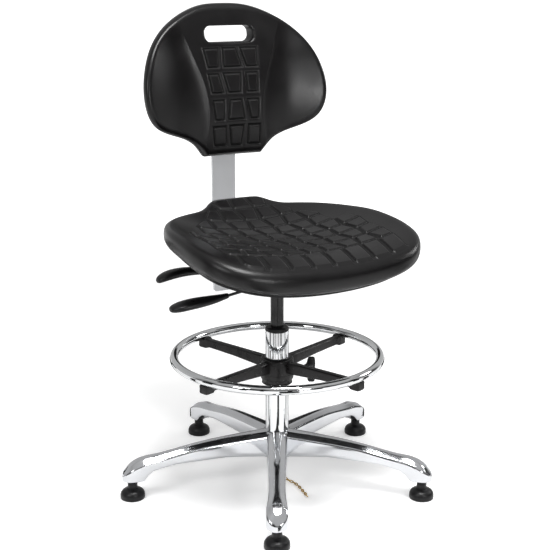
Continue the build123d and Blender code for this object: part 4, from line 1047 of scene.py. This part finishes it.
def back_front(x, z):
    lean = through([(r[0], r[1]) for r in back_rows], z)
    wing = np.abs(x) - through(panel_half, z)
    scoop = np.where(wing > 0, 0.0085 * (1 - np.exp(-np.maximum(wing, 0) / 0.020)), 0)
    for fade in (np.clip((1.005 - z) / 0.09, 0, 1), np.clip((z - 0.690) / 0.06, 0, 1),
                 np.clip((0.222 - np.abs(x)) / 0.10, 0, 1)):
        scoop = scoop * fade * fade * (3 - 2 * fade)
    return lean - 0.033 * (x / 0.225) ** 2 + scoop


def back_rear(x, z):
    lean = through([(r[0], r[1]) for r in back_rows], z)
    thick = through([(r[0], r[2]) for r in back_rows], z)
    return lean + thick - (thick + 0.005) * (x / 0.225) ** 2


def back_relief(x, z):
    """Raised pads inside narrow grooves on the middle panel, and a mask of painted shade along the grooves.
    """
    relief, groove_shade = np.zeros(x.shape), np.zeros(x.shape)
    for pad in back_pads:
        inside = np.full(x.shape, 9.0)
        for a, b in zip(pad, pad[1:] + pad[:1]):
            run, rise = b[0] - a[0], b[1] - a[1]
            away = ((x - a[0]) * rise - (z - a[1]) * run) / math.hypot(run, rise)
            inside = np.minimum(inside, away)
        groove = -0.0030 * np.exp(-(np.minimum(inside, 0) / 0.0032) ** 2) * (inside <= 0)
        swell = np.where(inside > 0, -0.0030 + pad_rise(inside, 0.0042, 0.0030), groove)
        relief = np.where(np.abs(swell) > np.abs(relief), swell, relief)
        # Painted shade mask: 1 along the grooves round each pad.
        groove_shade = np.maximum(groove_shade, np.clip(1 - (np.abs(inside + 0.0006) - 0.0016) / 0.0016, 0, 1))
    return relief, groove_shade


whole_line = [(-x, z) for x, z in back_half_line[::-1][:-1]] + back_half_line
dense_x = through([(k, p[0]) for k, p in enumerate(whole_line)], np.linspace(0, len(whole_line) - 1, 1200))
dense_z = through([(k, p[1]) for k, p in enumerate(whole_line)], np.linspace(0, len(whole_line) - 1, 1200))
foot_x = np.linspace(dense_x[-1], dense_x[0], 120)[1:-1]
back_line = np.stack([np.append(dense_x, foot_x), np.append(dense_z, np.full(len(foot_x), dense_z[-1]))], 1)
around = 720
line_steps = np.linalg.norm(np.diff(np.vstack([back_line, back_line[:1]]), axis=0), axis=1)
along = np.concatenate([[0], np.cumsum(line_steps)])
even = np.linspace(0, along[-1], around, endpoint=False)
back_ring = np.stack([np.interp(even, along, np.append(back_line[:, k], back_line[0, k]))
                      for k in (0, 1)], 1)
ring_turn = np.arctan2(back_ring[:, 1] - slot_centre[1], back_ring[:, 0] - slot_centre[0])
slot_turns = np.linspace(-np.pi, np.pi, 2400, endpoint=False)
core_wide, core_high = slot_half_wide - slot_round, slot_half_high - slot_round
slot_line = []
for t in slot_turns:
    way = np.array([math.cos(t), math.sin(t)])
    far = min(slot_half_wide / max(abs(way[0]), 1e-9), slot_half_high / max(abs(way[1]), 1e-9))
    spot = np.abs(way * far)
    if spot[0] > core_wide and spot[1] > core_high:
        low_far, high_far = 0.0, far
        for _ in range(30):
            mid = (low_far + high_far) / 2
            spot = np.abs(way * mid)
            over = np.hypot(max(spot[0] - core_wide, 0), max(spot[1] - core_high, 0))
            low_far, high_far = (mid, high_far) if over < slot_round else (low_far, mid)
        far = low_far
    slot_line.append(far)
slot_reach = np.interp(ring_turn, slot_turns, slot_line, period=2 * np.pi)
slot_ring = np.stack([slot_centre[0] + slot_reach * np.cos(ring_turn),
                      slot_centre[1] + slot_reach * np.sin(ring_turn)], 1)
span = back_ring - slot_ring
gap = np.linalg.norm(span, axis=1)[:, None]
way_out = span / gap
rim_in, slot_in = 0.015, 0.007
section, back_groove_shade = [], []
for share in np.linspace(0, 1, 180):
    flat = slot_ring + way_out * (slot_in + (gap - slot_in - rim_in) * share)
    raised, groove_shade = back_relief(flat[:, 0], flat[:, 1])
    section.append((flat, back_front(flat[:, 0], flat[:, 1]) - raised))
    back_groove_shade.append(groove_shade)
for lean in np.linspace(0, np.pi, 15)[1:]:
    flat = back_ring - way_out * rim_in * (1 - math.sin(lean) ** 0.8)
    near, far = back_front(flat[:, 0], flat[:, 1]), back_rear(flat[:, 0], flat[:, 1])
    bulge = math.copysign(abs(math.cos(lean)) ** 0.8, math.cos(lean))
    section.append((flat, (near + far) / 2 - (far - near) / 2 * bulge))
for share in np.linspace(1, 0, 26)[1:]:
    flat = slot_ring + way_out * (slot_in + (gap - slot_in - rim_in) * share)
    section.append((flat, back_rear(flat[:, 0], flat[:, 1])))
for lean in np.linspace(0, np.pi, 13)[1:-1]:
    flat = slot_ring + way_out * slot_in * (1 - math.sin(lean) ** 0.5)
    near, far = back_front(flat[:, 0], flat[:, 1]), back_rear(flat[:, 0], flat[:, 1])
    bulge = math.copysign(abs(math.cos(lean)) ** 0.5, math.cos(lean))
    section.append((flat, (near + far) / 2 + (far - near) / 2 * bulge))
back_points, back_faces = [], []
for flat, depth in section:
    back_points += list(np.stack([flat[:, 0], depth, flat[:, 1]], 1))
for s in range(len(section)):
    back_faces += band(row(s, around), row((s + 1) % len(section), around))
back_foam = new_piece("back_foam", back_points, back_faces)
# Painted shade along the back's pad grooves, as a point attribute.
all_groove_shade = np.zeros(len(back_foam.data.vertices))
all_groove_shade[:len(back_groove_shade) * around] = np.concatenate(back_groove_shade)
back_foam.data.attributes.new("groove_shade", "FLOAT", "POINT").data.foreach_set("value", all_groove_shade)
back_foam.data.materials.append(foam_skin)
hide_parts("back_cushion")
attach(back_foam, "backrest")
